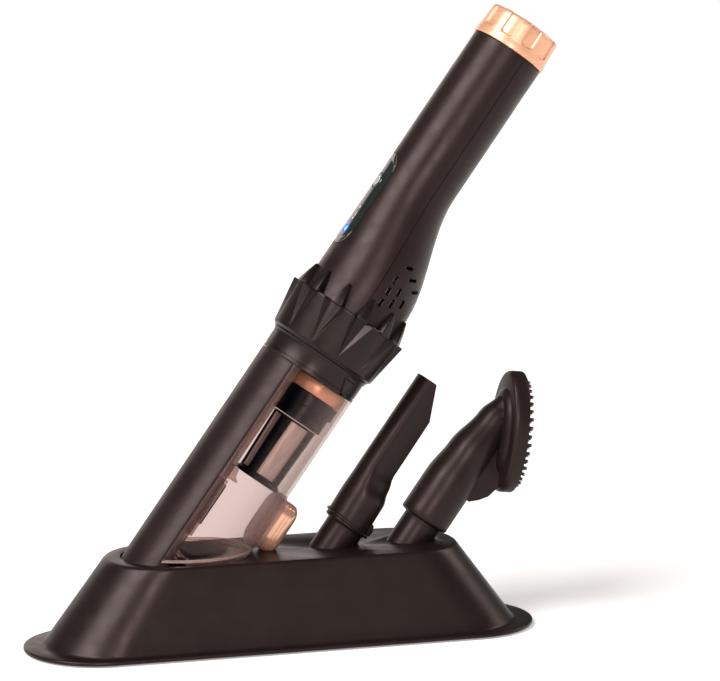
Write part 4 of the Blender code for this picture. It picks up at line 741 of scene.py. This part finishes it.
def build_door():
    hinge_u = DUCT_FACE + 2.2
    hinge_w = (DOOR_LOW + DOOR_THICK / 2) / cos(LEAN) + SLOPE * hinge_u
    low, high = (h / cos(LEAN) for h in (DOOR_LOW, DOOR_LOW + DOOR_THICK))

    def outline(radius, from_u):
        half = acos(from_u / radius)
        return arc(radius, -half, half, 72)

    lid = loft([
        slanted(outline(BODY - 0.9, hinge_u + 3.1), low),
        slanted(outline(BODY - 0.2, hinge_u + 2.4), low + 0.6),
        slanted(outline(BODY - 0.2, hinge_u + 2.4), high - 0.5),
        slanted(outline(BODY - 0.7, hinge_u + 2.9), high),
    ])
    barrel = ellipse(KNUCKLE_RADIUS, KNUCKLE_RADIUS, 40, (hinge_u, hinge_w))
    knuckle = loft(extruded(barrel, -KNUCKLE_HALF, KNUCKLE_HALF))
    half = KNUCKLE_HALF - 0.1
    plate = oblong(hinge_u, hinge_u + 5, -half, half)
    tongue = loft([slanted(plate, low + 0.5), slanted(plate, high - 0.3)])
    lid = combined(lid, "UNION", knuckle, tongue)
    piece("door_lid", lid, CLEAR, "bin_door", ["bin_door"], bevel=0.15)

    seal_low = high + GAP / cos(LEAN)
    reach = BODY - CUP_WALL - 9.6
    rings = []
    for lift, shrink in ((0, 1), (0.9, 1), (1.35, 0.96), (1.6, 0.86), (1.75, 0.5)):
        flat = [((u - 5) * shrink + 5, v * shrink) for u, v in outline(reach, hinge_u + 4)]
        rings.append(slanted(flat, seal_low + lift))
    piece("door_seal", loft(rings), SEAL, "bin_door", ["bin_door_seal"])
    ridge = [Vector(p) for p in slanted(outline(BODY - CUP_WALL - 2.6, hinge_u + 3.4), high + 0.1)]
    piece("door_ridge", beads([ridge], 0.45), RIM, "bin_door")


def build_neck():
    profile = [(BODY - 0.2, NECK_LOW), (BODY, NECK_LOW + 0.3), (BODY, NECK_LOW + 1.6)]
    profile += [(BODY - 0.35, NECK_LOW + 1.8), (BODY - 0.35, NECK_LOW + 2.3), (BODY, NECK_LOW + 2.5)]
    profile += [(BODY, NECK_TOP - 2.2), (BODY + 0.35, NECK_TOP - 1.2), (BODY + 1.0, NECK_TOP - 0.3)]
    profile += [(BODY + 0.9, NECK_TOP), (0, NECK_TOP), (0, NECK_LOW)]
    hole = cylinder(FILTER_RADIUS + FILTER_PLAY, NECK_LOW - 5, NECK_TOP + 5, FILTER_U)
    recesses = [catch_wedge(side, BODY - 4.5, BODY + 3, GAP) for side in (-1, 1)]
    neck = combined(turned(profile), "DIFFERENCE", hole, *recesses)
    piece("neck_ring", neck, COLLAR, "cup", ["cup_neck"])
    for side, word in ((-1, "left"), (1, "right")):
        pad = catch_wedge(side, BODY - 3, BODY + 0.7, 0)
        piece(f"catch_pad_{word}", pad, COLLAR, f"catch_{word}", [f"cup_catch_{word}"], bevel=0.55)


def catch_wedge(side, inner, outer, grow):
    """A triangular press pad that points down the tube."""
    half, low, high, tip = 4.5 + grow, -4.5 - 1.8 * grow, 3.78 + grow, 1.0 + grow
    outline = [(-half, high), (half, high), (tip, low), (-tip, low)]
    bm = loft([[(x, y, z) for y, z in outline] for x in (inner, outer)])
    middle = Matrix.Translation((0, 0, NECK_LOW + CATCH_SHARE * (NECK_TOP - NECK_LOW)))
    return moved(bm, middle @ Matrix.Rotation(side * CATCH_ANGLE, 4, "Z"))


# ---- filter

def build_filter():
    centre = FILTER_U
    ring_top = NECK_LOW - GAP
    ring_low = ring_top - 7.6
    band_top = ring_low - GAP
    band_mid = band_top - 7.4
    band_low = band_mid - 9
    radius = FILTER_RADIUS
    neck = radius - 3
    ring = [(neck + GAP, ring_low), (radius - 0.7, ring_low), (radius - 0.2, ring_low + 0.2)]
    ring += [(radius, ring_low + 0.7), (radius, ring_top - 0.7), (radius - 0.2, ring_top - 0.2)]
    ring += [(radius - 0.7, ring_top), (neck + GAP, ring_top)]
    piece("filter_gold_ring", turned(ring, centre), GOLD, "filter", ["filter_ring"])

    bore = radius - 4.6
    upper, lower = radius - 0.2, radius - 1.6
    body = [(bore, band_low), (lower - 0.4, band_low), (lower, band_low + 0.4), (lower, band_low + 3.6)]
    body += [(lower - 0.35, band_low + 3.8), (lower - 0.35, band_low + 4.4), (lower, band_low + 4.6)]
    body += [(lower, band_mid), (upper - 0.3, band_mid), (upper, band_mid + 0.4), (upper, band_top - 0.4)]
    body += [(upper - 0.3, band_top), (neck, band_top), (neck, ring_top + GAP), (radius, ring_top + GAP)]
    body += [(radius, NECK_TOP), (bore, NECK_TOP)]
    piece("filter_bands", turned(body, centre), NAVY, "filter", ["filter_frame"])

    cone_top = band_low - GAP
    cone_low = cone_top - CONE_LENGTH
    disc = CONE_LOW + 1.2
    cage = [(0, cone_low - 2.5), (disc - 0.4, cone_low - 2.5), (disc, cone_low - 2.1)]
    cage += [(disc, cone_low - 0.2), (disc - 0.6, cone_low + 0.2), (CONE_LOW, cone_low + 0.4)]
    cage += [(CONE_TOP, cone_top), (CONE_TOP - 1.4, cone_top), (CONE_LOW - 1.4, cone_low), (0, cone_low)]
    windows = []
    for quarter in range(4):
        middle = WINDOW_FROM + TURN * quarter / 4
        start, end = middle - WINDOW_HALF, middle + WINDOW_HALF
        wedge = [
            polar(reach, angle, centre)
            for reach, angle in ((8, start), (20, start), (20, middle), (20, end), (8, end))
        ]
        windows.append(loft([level(wedge, cone_low + 1.4), level(wedge, cone_top - 1.2)]))
    made = combined(turned(cage, centre), "DIFFERENCE", *windows)
    piece("filter_cage_ribs", made, NAVY, "filter", ["filter_cage"], bevel=0.15)
    gap = 1.4 + GAP
    gauze = [(CONE_LOW - gap - 0.8, cone_low + GAP), (CONE_LOW - gap, cone_low + GAP)]
    gauze += [(CONE_TOP - gap, cone_top), (CONE_TOP - gap - 0.8, cone_top)]
    piece("filter_gauze", turned(gauze, centre), GAUZE, "filter", ["filter_mesh"])


# ---- collar

def build_collar():
    height = COLLAR_TOP - COLLAR_LOW
    pitch = TURN / COLLAR_TEETH
    levels = [0, 0.7, 1.7, 2.4, NOTCH_LOW]
    levels += [NOTCH_LOW + (height - 0.5 - NOTCH_LOW) * i / 18 for i in range(1, 19)] + [height]
    outer, inner = [], []
    for rise in levels:
        share = max(0.03, (rise - NOTCH_LOW) / (height - NOTCH_LOW))
        climb = max(0, (rise - 1.7) / (height - 1.7))
        radius = COLLAR_LOW_RADIUS + (COLLAR_TOP_RADIUS - COLLAR_LOW_RADIUS) * climb
        if rise < 1.7:
            radius -= 1.7 * (1 - rise / 1.7) ** 0.8
        if rise == height:
            radius -= 0.5
        floor = min(NOTCH_FLOOR_RADIUS, radius) if rise >= NOTCH_LOW else radius
        if rise == height:
            floor -= 0.45
        wide, narrow = (half * share / radius for half in (NOTCH_HALF, NOTCH_FLOOR_HALF))
        offsets = [(-pitch / 2 + (pitch / 2 - wide) * i / 4, radius) for i in range(5)]
        offsets += [(-narrow + 2 * narrow * i / 4, floor) for i in range(5)]
        offsets += [(wide + (pitch / 2 - wide) * i / 4, radius) for i in range(4)]
        ring, bored = [], []
        for tooth in range(COLLAR_TEETH):
            for offset, reach in offsets:
                angle = COLLAR_PHASE + tooth * pitch + offset
                ring.append((*polar(reach, angle), COLLAR_LOW + rise))
                bored.append((*polar(COLLAR_BORE, angle), COLLAR_LOW + rise))
        outer.append(ring)
        inner.append(bored)
    ring = looped(outer + [inner[-1], inner[0]])
    piece("collar_teeth", ring, COLLAR, "handle", ["collar_ring"], bevel=0.22, smooth=24)

    fins = []
    base = BODY - 0.4
    for tooth in range(COLLAR_TEETH):
        turn = Matrix.Rotation(COLLAR_PHASE + tooth * pitch, 3, "Z")
        rings = []
        for rise, proud, half in (
            (-0.9, FIN_PROUD, FIN_HALF), (0.8, FIN_PROUD, FIN_HALF), (FIN_HEIGHT * 0.55, 2.0, 2.5),
            (FIN_HEIGHT, 0.4, 0.7),
        ):
            out = COLLAR_BORE + proud
            corners = [(base, -half), (out, -half * 0.8), (out, half * 0.8), (base, half)]
            rings.append([turn @ Vector((u, v, COLLAR_TOP + rise)) for u, v in corners])
        fins.append(rings)
    piece("collar_fins", loft(*fins), COLLAR, "handle", bevel=0.3)


# ---- housing and handle

def section(height):
    """Centre and radius of the housing and handle at a height."""
    blend = smoothstep((height - FLARE_LOW) / FLARE_LENGTH)
    reach = BODY + (HANDLE_U + HANDLE_RADIUS - BODY) * blend
    return (reach - BODY) / 2, (reach + BODY) / 2


def shell_ring(height, cup_side, steps=72, relief=0.0):
    centre, radius = section(height)
    radius -= relief
    split = SPLIT_U + (GAP if cup_side else -GAP) / 2 - centre
    bore = radius - SHELL_WALL
    outer, inner = acos(split / radius), acos(split / bore)
    if cup_side:
        outline = arc(radius, -outer, outer, steps, centre) + arc(bore, inner, -inner, steps // 2, centre)
    else:
        outline = arc(radius, outer, TURN - outer, steps, centre)
        outline += arc(bore, TURN - inner, inner, steps // 2, centre)
    return level(outline, height)


def panel_band(grow, depth, proud, steps=48, across=24):
    """A curved strip along the display side with rounded ends."""
    length = PANEL_LENGTH + 2 * grow
    half_width = PANEL_HALF_WIDTH + grow
    rings = []
    for i in range(steps + 1):
        share = sin(pi * (i / steps - 0.5))
        height = PANEL_LOW - grow + length / 2 * (1 + share)
        to_end = min(1.0, (1 - abs(share)) * length / 2 / half_width)
        width = half_width * max(0.12, sqrt(1 - (1 - to_end) ** 2))
        centre, radius = section(height)
        start, end = pi - width / radius, pi + width / radius
        outline = arc(radius + proud, start, end, across, centre)
        outline += arc(radius - depth, end, start, across, centre)
        rings.append(level(outline, height))
    return loft(rings)


def on_panel(across, height, lift):
    """The point on the display side, across from its middle line and lifted off the surface."""
    centre, radius = section(height)
    return Vector((*polar(radius + lift, pi + across / radius, centre), height))


def printed(shapes, lift, depth=0.25):
    """Thin raised shapes on the display side: solid outlines, or pairs of an outer and an inner one."""
    whole, pierced = [], []
    for outer, inner in shapes:
        walls = [[on_panel(a, h, at) for a, h in outer] for at in (-depth, lift)]
        if inner:
            walls += [[on_panel(a, h, at) for a, h in inner] for at in (lift, -depth)]
        (pierced if inner else whole).append(walls)
    return loft(*whole, into=looped(*pierced))


def inwards(profile, height, steps=64):
    """A turned solid whose axis points from the display side's surface into the handle."""
    return moved(turned(profile, steps=steps), tilted((-BODY, 0, height), TURN / 4))


def cylinder_in(radius, height):
    return inwards([(0, -5), (radius, -5), (radius, 5), (0, 5)], height)


def vent_places():
    """Middle (u, w) and turn of each vent slot, the same on both flanks."""
    for column in range(VENT_COLUMNS):
        u = 2.4 + column * 5.9
        for row in range(VENT_COLUMNS - column + 1):
            last = row == VENT_COLUMNS - column
            w = FLARE_LOW + 0.3 + column * 2.8 + row * 7.2
            yield (u + 4.0, w + 2.4, radians(68)) if last else (u, w, 0.0)


def vent_outline(u, w, turn, grow=0.0):
    for x, y in stadium(5.0 + 2 * grow, 1.7 + 2 * grow, 6, 4):
        yield u + x * sin(turn) + y * cos(turn), w + x * cos(turn) - y * sin(turn)


def port_outline(grow):
    return stadium(PORT_LENGTH + 2 * grow, PORT_WIDTH + 2 * grow, 24, 8)


def build_shells():
    heights = [SHELL_LOW, SHELL_LOW + 2]
    while heights[-1] < SHELL_TOP - 2:
        heights.append(heights[-1] + 2)
    heights += [SHELL_TOP - 0.5, SHELL_TOP]

    def half_shell(cup_side):
        return loft([shell_ring(h, cup_side, relief=0.4 if h == SHELL_TOP else 0) for h in heights])

    slots = loft(*(
        extruded(list(vent_outline(*place)), -2 * BODY, 2 * BODY) for place in vent_places()
    ))
    face = HANDLE_U + HANDLE_RADIUS
    middle = PORT_LOW + PORT_LENGTH / 2
    chord = HANDLE_RADIUS - sqrt(HANDLE_RADIUS**2 - (PORT_WIDTH / 2) ** 2)
    depth = 0.9 + chord
    recess = loft([[(u, y, middle + x) for x, y in port_outline(GAP)] for u in (face - depth, face + 5)])
    hole = block((face - 12, -4.8, middle - 2.1), (face + 5, 4.8, middle + 2.1))
    vent = combined(half_shell(True), "DIFFERENCE", slots, recess, hole)
    piece("handle_cup_half", vent, SATIN, "handle", ["vent_shell"])
    pocket = panel_band(GAP, PANEL_THICK + GAP, 3)
    window = block((-BODY - 5, -5.5, PANEL_LOW + 5), (-BODY + 4, 5.5, PANEL_LOW + PANEL_LENGTH - 5))
    display = combined(half_shell(False), "DIFFERENCE", pocket, window)
    piece("handle_display_half", display, SATIN, "handle", ["display_shell"])

    rims = []
    for u, w, turn in vent_places():
        for side in (-1, 1):
            loop = []
            for x, z in vent_outline(u, w, turn, 0.25):
                centre, radius = section(z)
                loop.append(Vector((x, side * sqrt(radius**2 - (x - centre) ** 2), z)))
            rims.append(loop)
    piece("vent_rims", beads(rims, 0.24), COLLAR, "handle")

    floor = face - depth + GAP
    rings = []
    for share, shrink in ((0, 1), (0.85, 1), (0.95, 0.985), (1, 0.95), (1.0, 0.6), (1.0, 0.2)):
        ring = []
        for x, y in port_outline(0):
            y *= shrink
            crown = chord - (HANDLE_RADIUS - sqrt(HANDLE_RADIUS**2 - y * y))
            ring.append((floor + share * (0.5 + crown * 0.95), y, middle + x * (0.5 + shrink / 2)))
        rings.append(ring)
    piece("port_flap", loft(rings), RUBBER, "port_cover", ["port_cover"])


def build_panel():
    face = panel_band(0, PANEL_THICK, 0.08)
    face = combined(
        face, "DIFFERENCE", cylinder_in(BUTTON_RADIUS + GAP, BUTTON_HEIGHT),
        cylinder_in(LED_RADIUS + GAP, LED_HEIGHT),
    )
    piece("panel_glass", face, PANEL, "handle", ["display_panel"])
    ends = []
    half_turn = arc(PANEL_HALF_WIDTH, 0, pi, 24)
    for sign in (-1, 1):
        end = PANEL_LOW + PANEL_LENGTH / 2 * (1 + sign) - sign * PANEL_HALF_WIDTH
        outer = [(0.96 * x, end + sign * (y - 0.3)) for x, y in half_turn]
        inner = [(0.9 * x, end + sign * (0.62 * y - 0.6)) for x, y in half_turn]
        ends.append((outer + inner[::-1], None))
    piece("panel_bezel_ends", printed(ends, 0.14), BEZEL, "handle")
    key = BUTTON_RADIUS
    button = [(0, 0.0), (key - 0.9, 0.05), (key - 0.3, 0.18), (key, 0.5), (key, 1.9), (key + 0.8, 1.9)]
    button += [(key + 0.8, 2.9), (1.2, 2.9), (1.2, 3.4), (0, 3.4)]
    piece("button_cap", inwards(button, BUTTON_HEIGHT), PANEL, "power_button", ["power_button"])
    ring = [ellipse(a, h, 32, (0, BUTTON_HEIGHT)) for a, h in ((2.3, 2.6), (1.702, 1.976))]
    stroke = oblong(-0.28, 0.28, BUTTON_HEIGHT - 1, BUTTON_HEIGHT + 1)
    marks = printed([ring, (stroke, None)], 0.12, depth=0.3)
    piece("button_mark", marks, MARK, "power_button")
    dots = [(ellipse(0.62, 0.62, 16, (1.2, height)), None) for height in (208, 201)]
    dots.append((oblong(1.6, 2.0, 202.4, 205.0), None))
    piece("panel_dots", printed(dots, 0.16), MARK, "handle")
    lamp = [(0, 0.02), (LED_RADIUS * 0.6, 0.1), (LED_RADIUS * 0.9, 0.3), (LED_RADIUS, 0.6)]
    lamp += [(LED_RADIUS, 3), (0, 3)]
    piece("led_lamp", inwards(lamp, LED_HEIGHT), LED, "handle", ["status_led"])
    halo = [ellipse(a, h, 32, (0, LED_HEIGHT)) for a, h in ((3.4, 3.9), (2.244, 2.34))]
    piece("led_glow", printed([halo], 0.12), GLOW, "handle")


def build_cap():
    count = 720
    pitch = TURN / CAP_GRIPS
    half_grip = 0.6 * CAP_RADIUS * pitch / 2
    rounding = 2.4
    bottom = CAP_LOW + CAP_BAND
    levels = [CAP_LOW, CAP_LOW + 0.3, CAP_LOW + 1.5, CAP_LOW + 3, bottom - 0.5]
    levels += [bottom + 0.4 * i for i in range(8)]
    levels += [bottom + 3.2 + (CAP_TOP - 1.6 - bottom - 3.2) * i / 6 for i in range(1, 7)]
    rings = []

    def inset(height):
        taper = 0.3 + 0.5 * max(0, (height - bottom) / (CAP_TOP - bottom))
        return taper if height > bottom - 0.6 else 0.0

    for height in levels:
        ring = []
        for i in range(count):
            angle = TURN * i / count
            across = abs((angle / pitch) % 1 - 0.5) * pitch * CAP_RADIUS
            inside, above = half_grip - across, height - bottom
            if inside < rounding and above < rounding:
                depth = rounding - hypot(rounding - inside, rounding - above)
            else:
                depth = min(inside, above)
            radius = CAP_RADIUS - inset(height) - 0.95 * smoothstep(depth / 0.9)
            if height == CAP_LOW:
                radius -= 0.3
            ring.append((*polar(radius, angle, HANDLE_U), height))
        rings.append(ring)
    last = rings[-1]
    for rise, share in ((0.9, 0.985), (1.35, 0.965), (1.6, 0.94), (1.6, 0.86), (1.2, 0.84), (1.2, 0.3)):
        rings.append([
            (HANDLE_U + (x - HANDLE_U) * share, y * share, CAP_TOP - 1.6 + rise) for x, y, _ in last
        ])
    skirt = HANDLE_RADIUS - SHELL_WALL - 2 * GAP
    foot = [level(circle(skirt, HANDLE_U, count), height) for height in (CAP_LOW - 2.6, CAP_LOW)]
    piece("cap_grip", loft(foot + rings), GOLD, "end_cap", ["end_cap"], smooth=40)


# ---- tools

def blade_ring(height, centre, radius, keel, inset=0.0, sides=96):
    ring = []
    radius -= inset
    for i in range(sides):
        angle = TURN * i / sides
        u, v = radius * cos(angle), radius * sin(angle)
        share = min(max((u + 0.3 * radius) / (1.3 * radius), 0), 1)
        limit = radius * (0.86 - 0.58 * share)
        v += (copysign(min(abs(v), limit), v) - v) * keel
        ring.append((centre + u, v, height))
    return ring


def build_crevice():
    stations = [
        (-STUB_DEPTH, 0, STUB_RADIUS, 0), (11.5, 0, STUB_RADIUS, 0), (12.5, -0.6, 12.6, 0),
        (32, -1.1, 12.6, 0), (40, -2.2, 11.4, 0.5), (49, -3.4, 10.3, 1), (103.7, -3.6, 10.1, 1),
    ]
    body = loft([blade_ring(*s) for s in stations_between(stations, 2.0)])
    inner = [(-STUB_DEPTH - 1, 0, STUB_RADIUS, 0), (10, 0, STUB_RADIUS, 0), (16, -0.6, 12.6, 0)]
    inner += stations[3:6] + [(104.7, -3.6, 10.1, 1)]
    bore = loft([blade_ring(*s, inset=TOOL_WALL) for s in stations_between(inner, 3.0)])
    slant = moved(block((0, -20, -40), (40, 20, 40)), tilted((-3.1, 0, 101.3), -TIP_SLANT))
    piece("crevice_blade", combined(body, "DIFFERENCE", bore, slant), SATIN, "crevice_tool",
          ["crevice_tool"], at=CREVICE, bevel=0.3, smooth=20)
    rings = []
    for radius, rise in ((11.6, 0), (13.5, 0.2), (13.9, 0.6), (13.9, 1.3), (13.4, 1.8), (11.6, 2.0)):
        rings.append([(u - 0.4, v, 13.2 + rise - 0.10 * u) for u, v in circle(radius)])
    piece("crevice_rim", looped(rings), SATIN, "crevice_tool", at=CREVICE)
    tab = [(11.4, 13.5), (14.0, 14.2), (14.3, 17.2), (13.0, 20.5), (11.4, 21.0)]
    piece("crevice_snap", loft(extruded(tab, -3.2, 3.2)), SATIN, "crevice_tool", at=CREVICE, bevel=0.45)


HEAD_FACE = Vector((17.2, 0, 81.8))
HEAD_PLACE = tilted(HEAD_FACE, HEAD_TILT)


def head_ring(scale, inset, height, steps=96):
    return level(ellipse(HEAD_LENGTH / 2 * scale - inset, HEAD_WIDTH / 2 * scale - inset, steps), height)


def oval(levels, steps=96):
    """An oval solid on the brush head's axes: (scale, inset, height) at each level."""
    return moved(loft([head_ring(*each, steps) for each in levels]), HEAD_PLACE)


def build_brush():
    stations = [
        (-STUB_DEPTH, 0, STUB_RADIUS), (12, 0, STUB_RADIUS), (13, 0, 13.8), (14, 0, 14.2), (38, 0, 14.2),
        (57, 0.4, 12.4), (80, 2.2, 9.6), (93, 4.5, 8.0),
    ]
    neck = loft([level(circle(r, c, 80), h) for h, c, r in stations_between(stations, 3.0)])
    head = oval([
        (1, 2.2, -HEAD_THICK), (1, 0.9, -HEAD_THICK + 0.5), (1, 0.2, -HEAD_THICK + 1.6), (1, 0, -6),
        (1, 0, -0.9), (1, 0.25, -0.25), (1, 0.9, 0),
    ])
    dome = oval([(0.72, 6, -HEAD_THICK - 3), (0.72, 3, -HEAD_THICK - 2.7), (0.72, 1, -HEAD_THICK - 1.4),
                 (0.74, 0, -HEAD_THICK + 1)], 80)
    edge = [(5, 36), (14.6, 35), (19.0, 38.8), (22.5, 43.4), (24.2, 50), (24.5, 58), (16.5, 76), (5, 74)]
    web = loft(extruded(edge, -5.3, 5.3))
    stub = STUB_RADIUS - TOOL_WALL
    bore = [(-STUB_DEPTH - 1, 0, stub), (12, 0, stub), (17, 0, stub + 1), (38, 0, 12.4), (57, 0.4, 10.6),
            (80, 2.2, 7.8), (90, 4.3, 6)]
    hollow = loft([level(circle(r, c, 64), h) for h, c, r in bore])
    cavity = oval([(0.5, 0, -HEAD_THICK - 1), (0.5, 0, 8)], 64)
    bed = oval([(0.93, 0, -2.13), (0.93, 0, 4)])
    body = combined(neck, "UNION", head, dome, web)
    body = combined(body, "DIFFERENCE", bed, hollow, cavity)
    piece("brush_shell", body, SATIN, "dusting_brush", ["brush_body"], at=BRUSH, bevel=0.3)
    build_bristles()


def build_bristles():
    hairs = []
    for scale, twist in ((0.66, 0.0), (0.77, 0.5), (0.87, 0.0)):
        half_length, half_width = HEAD_LENGTH / 2 * scale, HEAD_WIDTH / 2 * scale
        count = round(pi * (half_length + half_width) / TUFT_PITCH)
        for i in range(count):
            angle = TURN * (i + twist) / count
            out = Vector((*polar(1, angle), 0))
            foot = Vector((half_length * out.x, half_width * out.y, -1.7))
            for k in range(7):
                offset = Vector((*polar(TUFT_RADIUS if k < 6 else 0, TURN * k / 6), 0))
                lean = out * 0.25 + offset * 0.5 + Vector((0.5, 0, 0))
                length = BRISTLE_LENGTH + 1.7 - 0.35 * ((k * 3 + i) % 3) / 2
                hairs.append(hair(foot + offset, lean, length))
    tufts = moved(loft(*hairs), HEAD_PLACE)
    piece("bristle_tufts", tufts, BRISTLE, "dusting_brush", ["brush_bristles"], at=BRUSH)
    levels = ((0.925, -2.0), (0.925, -1.1), (0.6, -1.1), (0.6, -2.0))
    bed = moved(looped([head_ring(scale, 0, height) for scale, height in levels]), HEAD_PLACE)
    piece("bristle_bed", bed, RUBBER, "dusting_brush", at=BRUSH)


def hair(foot, lean, length):
    rings = []
    for share, radius in ((0, 0.26), (0.6, 0.24), (1, 0.12)):
        middle = foot + lean * share + Vector((0, 0, length * share))
        rings.append([middle + Vector((*polar(radius, TURN * j / 5), 0)) for j in range(5)])
    return rings


# ---- carried-over CAD nodes

CARRIED = (INNER, PANEL, GOLD, CLEAR, RUBBER, STEEL, GAUZE, PAPER, CELL, BOARD, LED, BRISTLE)
LOOKS = {look["of_slot"]: look for look in CARRIED}


def dress_nodes():
    """Gives every CAD node that still shows its own slot's finish."""
    for node in frame["nodes"].values():
        if node.hide_render:
            continue
        slots = [m.name.split(".")[0] for m in node.data.materials if m]
        look = LOOKS.get(slots[0], INNER) if slots else INNER
        dress(node.data, look)


# ---- floor, light and camera

def build_floor():
    bm = bmesh.new()
    bmesh.ops.create_grid(bm, x_segments=2, y_segments=2, size=14)
    floor = solid(bm, "floor")
    look = bpy.data.materials.new("floor")
    look.use_nodes = True
    shader = look.node_tree.nodes["Principled BSDF"]
    for key, value in {
        "Base Color": (0.9, 0.9, 0.9, 1), "Roughness": 0.9, "Specular IOR Level": 0.1,
        "Emission Color": (1, 1, 1, 1), "Emission Strength": 0.27,
    }.items():
        shader.inputs[key].default_value = value
    floor.data.materials.append(look)


def aimed(obj, place, target):
    obj.location = place
    direction = Vector(target) - Vector(place)
    obj.rotation_euler = direction.to_track_quat("-Z", "Y").to_euler()


def area_light(name, place, target, size, energy, colour=(1, 1, 1)):
    data = bpy.data.lights.new(name, "AREA")
    data.shape = "RECTANGLE"
    data.size, data.size_y = size
    data.energy = energy
    data.color = colour
    light = bpy.data.objects.new(name, data)
    light.visible_camera = False
    bpy.context.collection.objects.link(light)
    aimed(light, place, target)


def build_light():
    world = bpy.data.worlds.new("studio")
    bpy.context.scene.world = world
    world.use_nodes = True
    background = world.node_tree.nodes["Background"]
    background.inputs["Color"].default_value = (1.0, 0.96, 0.95, 1)
    background.inputs["Strength"].default_value = 0.12
    data = bpy.data.lights.new("key", "SUN")
    data.energy = 3.35
    data.angle = radians(34)
    key = bpy.data.objects.new("key", data)
    bpy.context.collection.objects.link(key)
    aimed(key, (-1.15, -0.5, 1.15), (0, 0, 0))
    middle = (0.03, 0, 0.17)
    area_light("left_strip", (-1.0, -0.75, 0.75), middle, (0.16, 1.3), 2.6, (1.0, 0.86, 0.82))
    area_light("right_strip", (1.15, 0.05, 0.6), middle, (0.4, 0.5), 4, (1.0, 0.86, 0.82))
    area_light("front_fill", (-0.42, -1.9, 0.7), middle, (0.5, 0.7), 18, (1.0, 0.93, 0.90))
    area_light("back_panel", (-0.1, 2.1, 0.62), (0.05, 0, 0.1), (1.6, 0.8), 6.5, (1.0, 0.84, 0.80))


def build_camera():
    data = bpy.data.cameras.new("view")
    data.lens = 182
    data.sensor_width = 36
    data.clip_end = 60
    camera = bpy.data.objects.new("view", data)
    bpy.context.collection.objects.link(camera)
    aimed(camera, (-0.526, -1.867, 0.496), (0.047, 0.027, 0.157))
    bpy.context.scene.camera = camera
    bpy.context.scene.view_settings.view_transform = "Standard"


def main():
    build_stand()
    build_duct()
    build_cup()
    build_pocket()
    build_latch()
    build_door()
    build_neck()
    build_filter()
    build_collar()
    build_shells()
    build_panel()
    build_cap()
    build_crevice()
    build_brush()
    dress_nodes()
    build_floor()
    build_light()
    build_camera()


main()
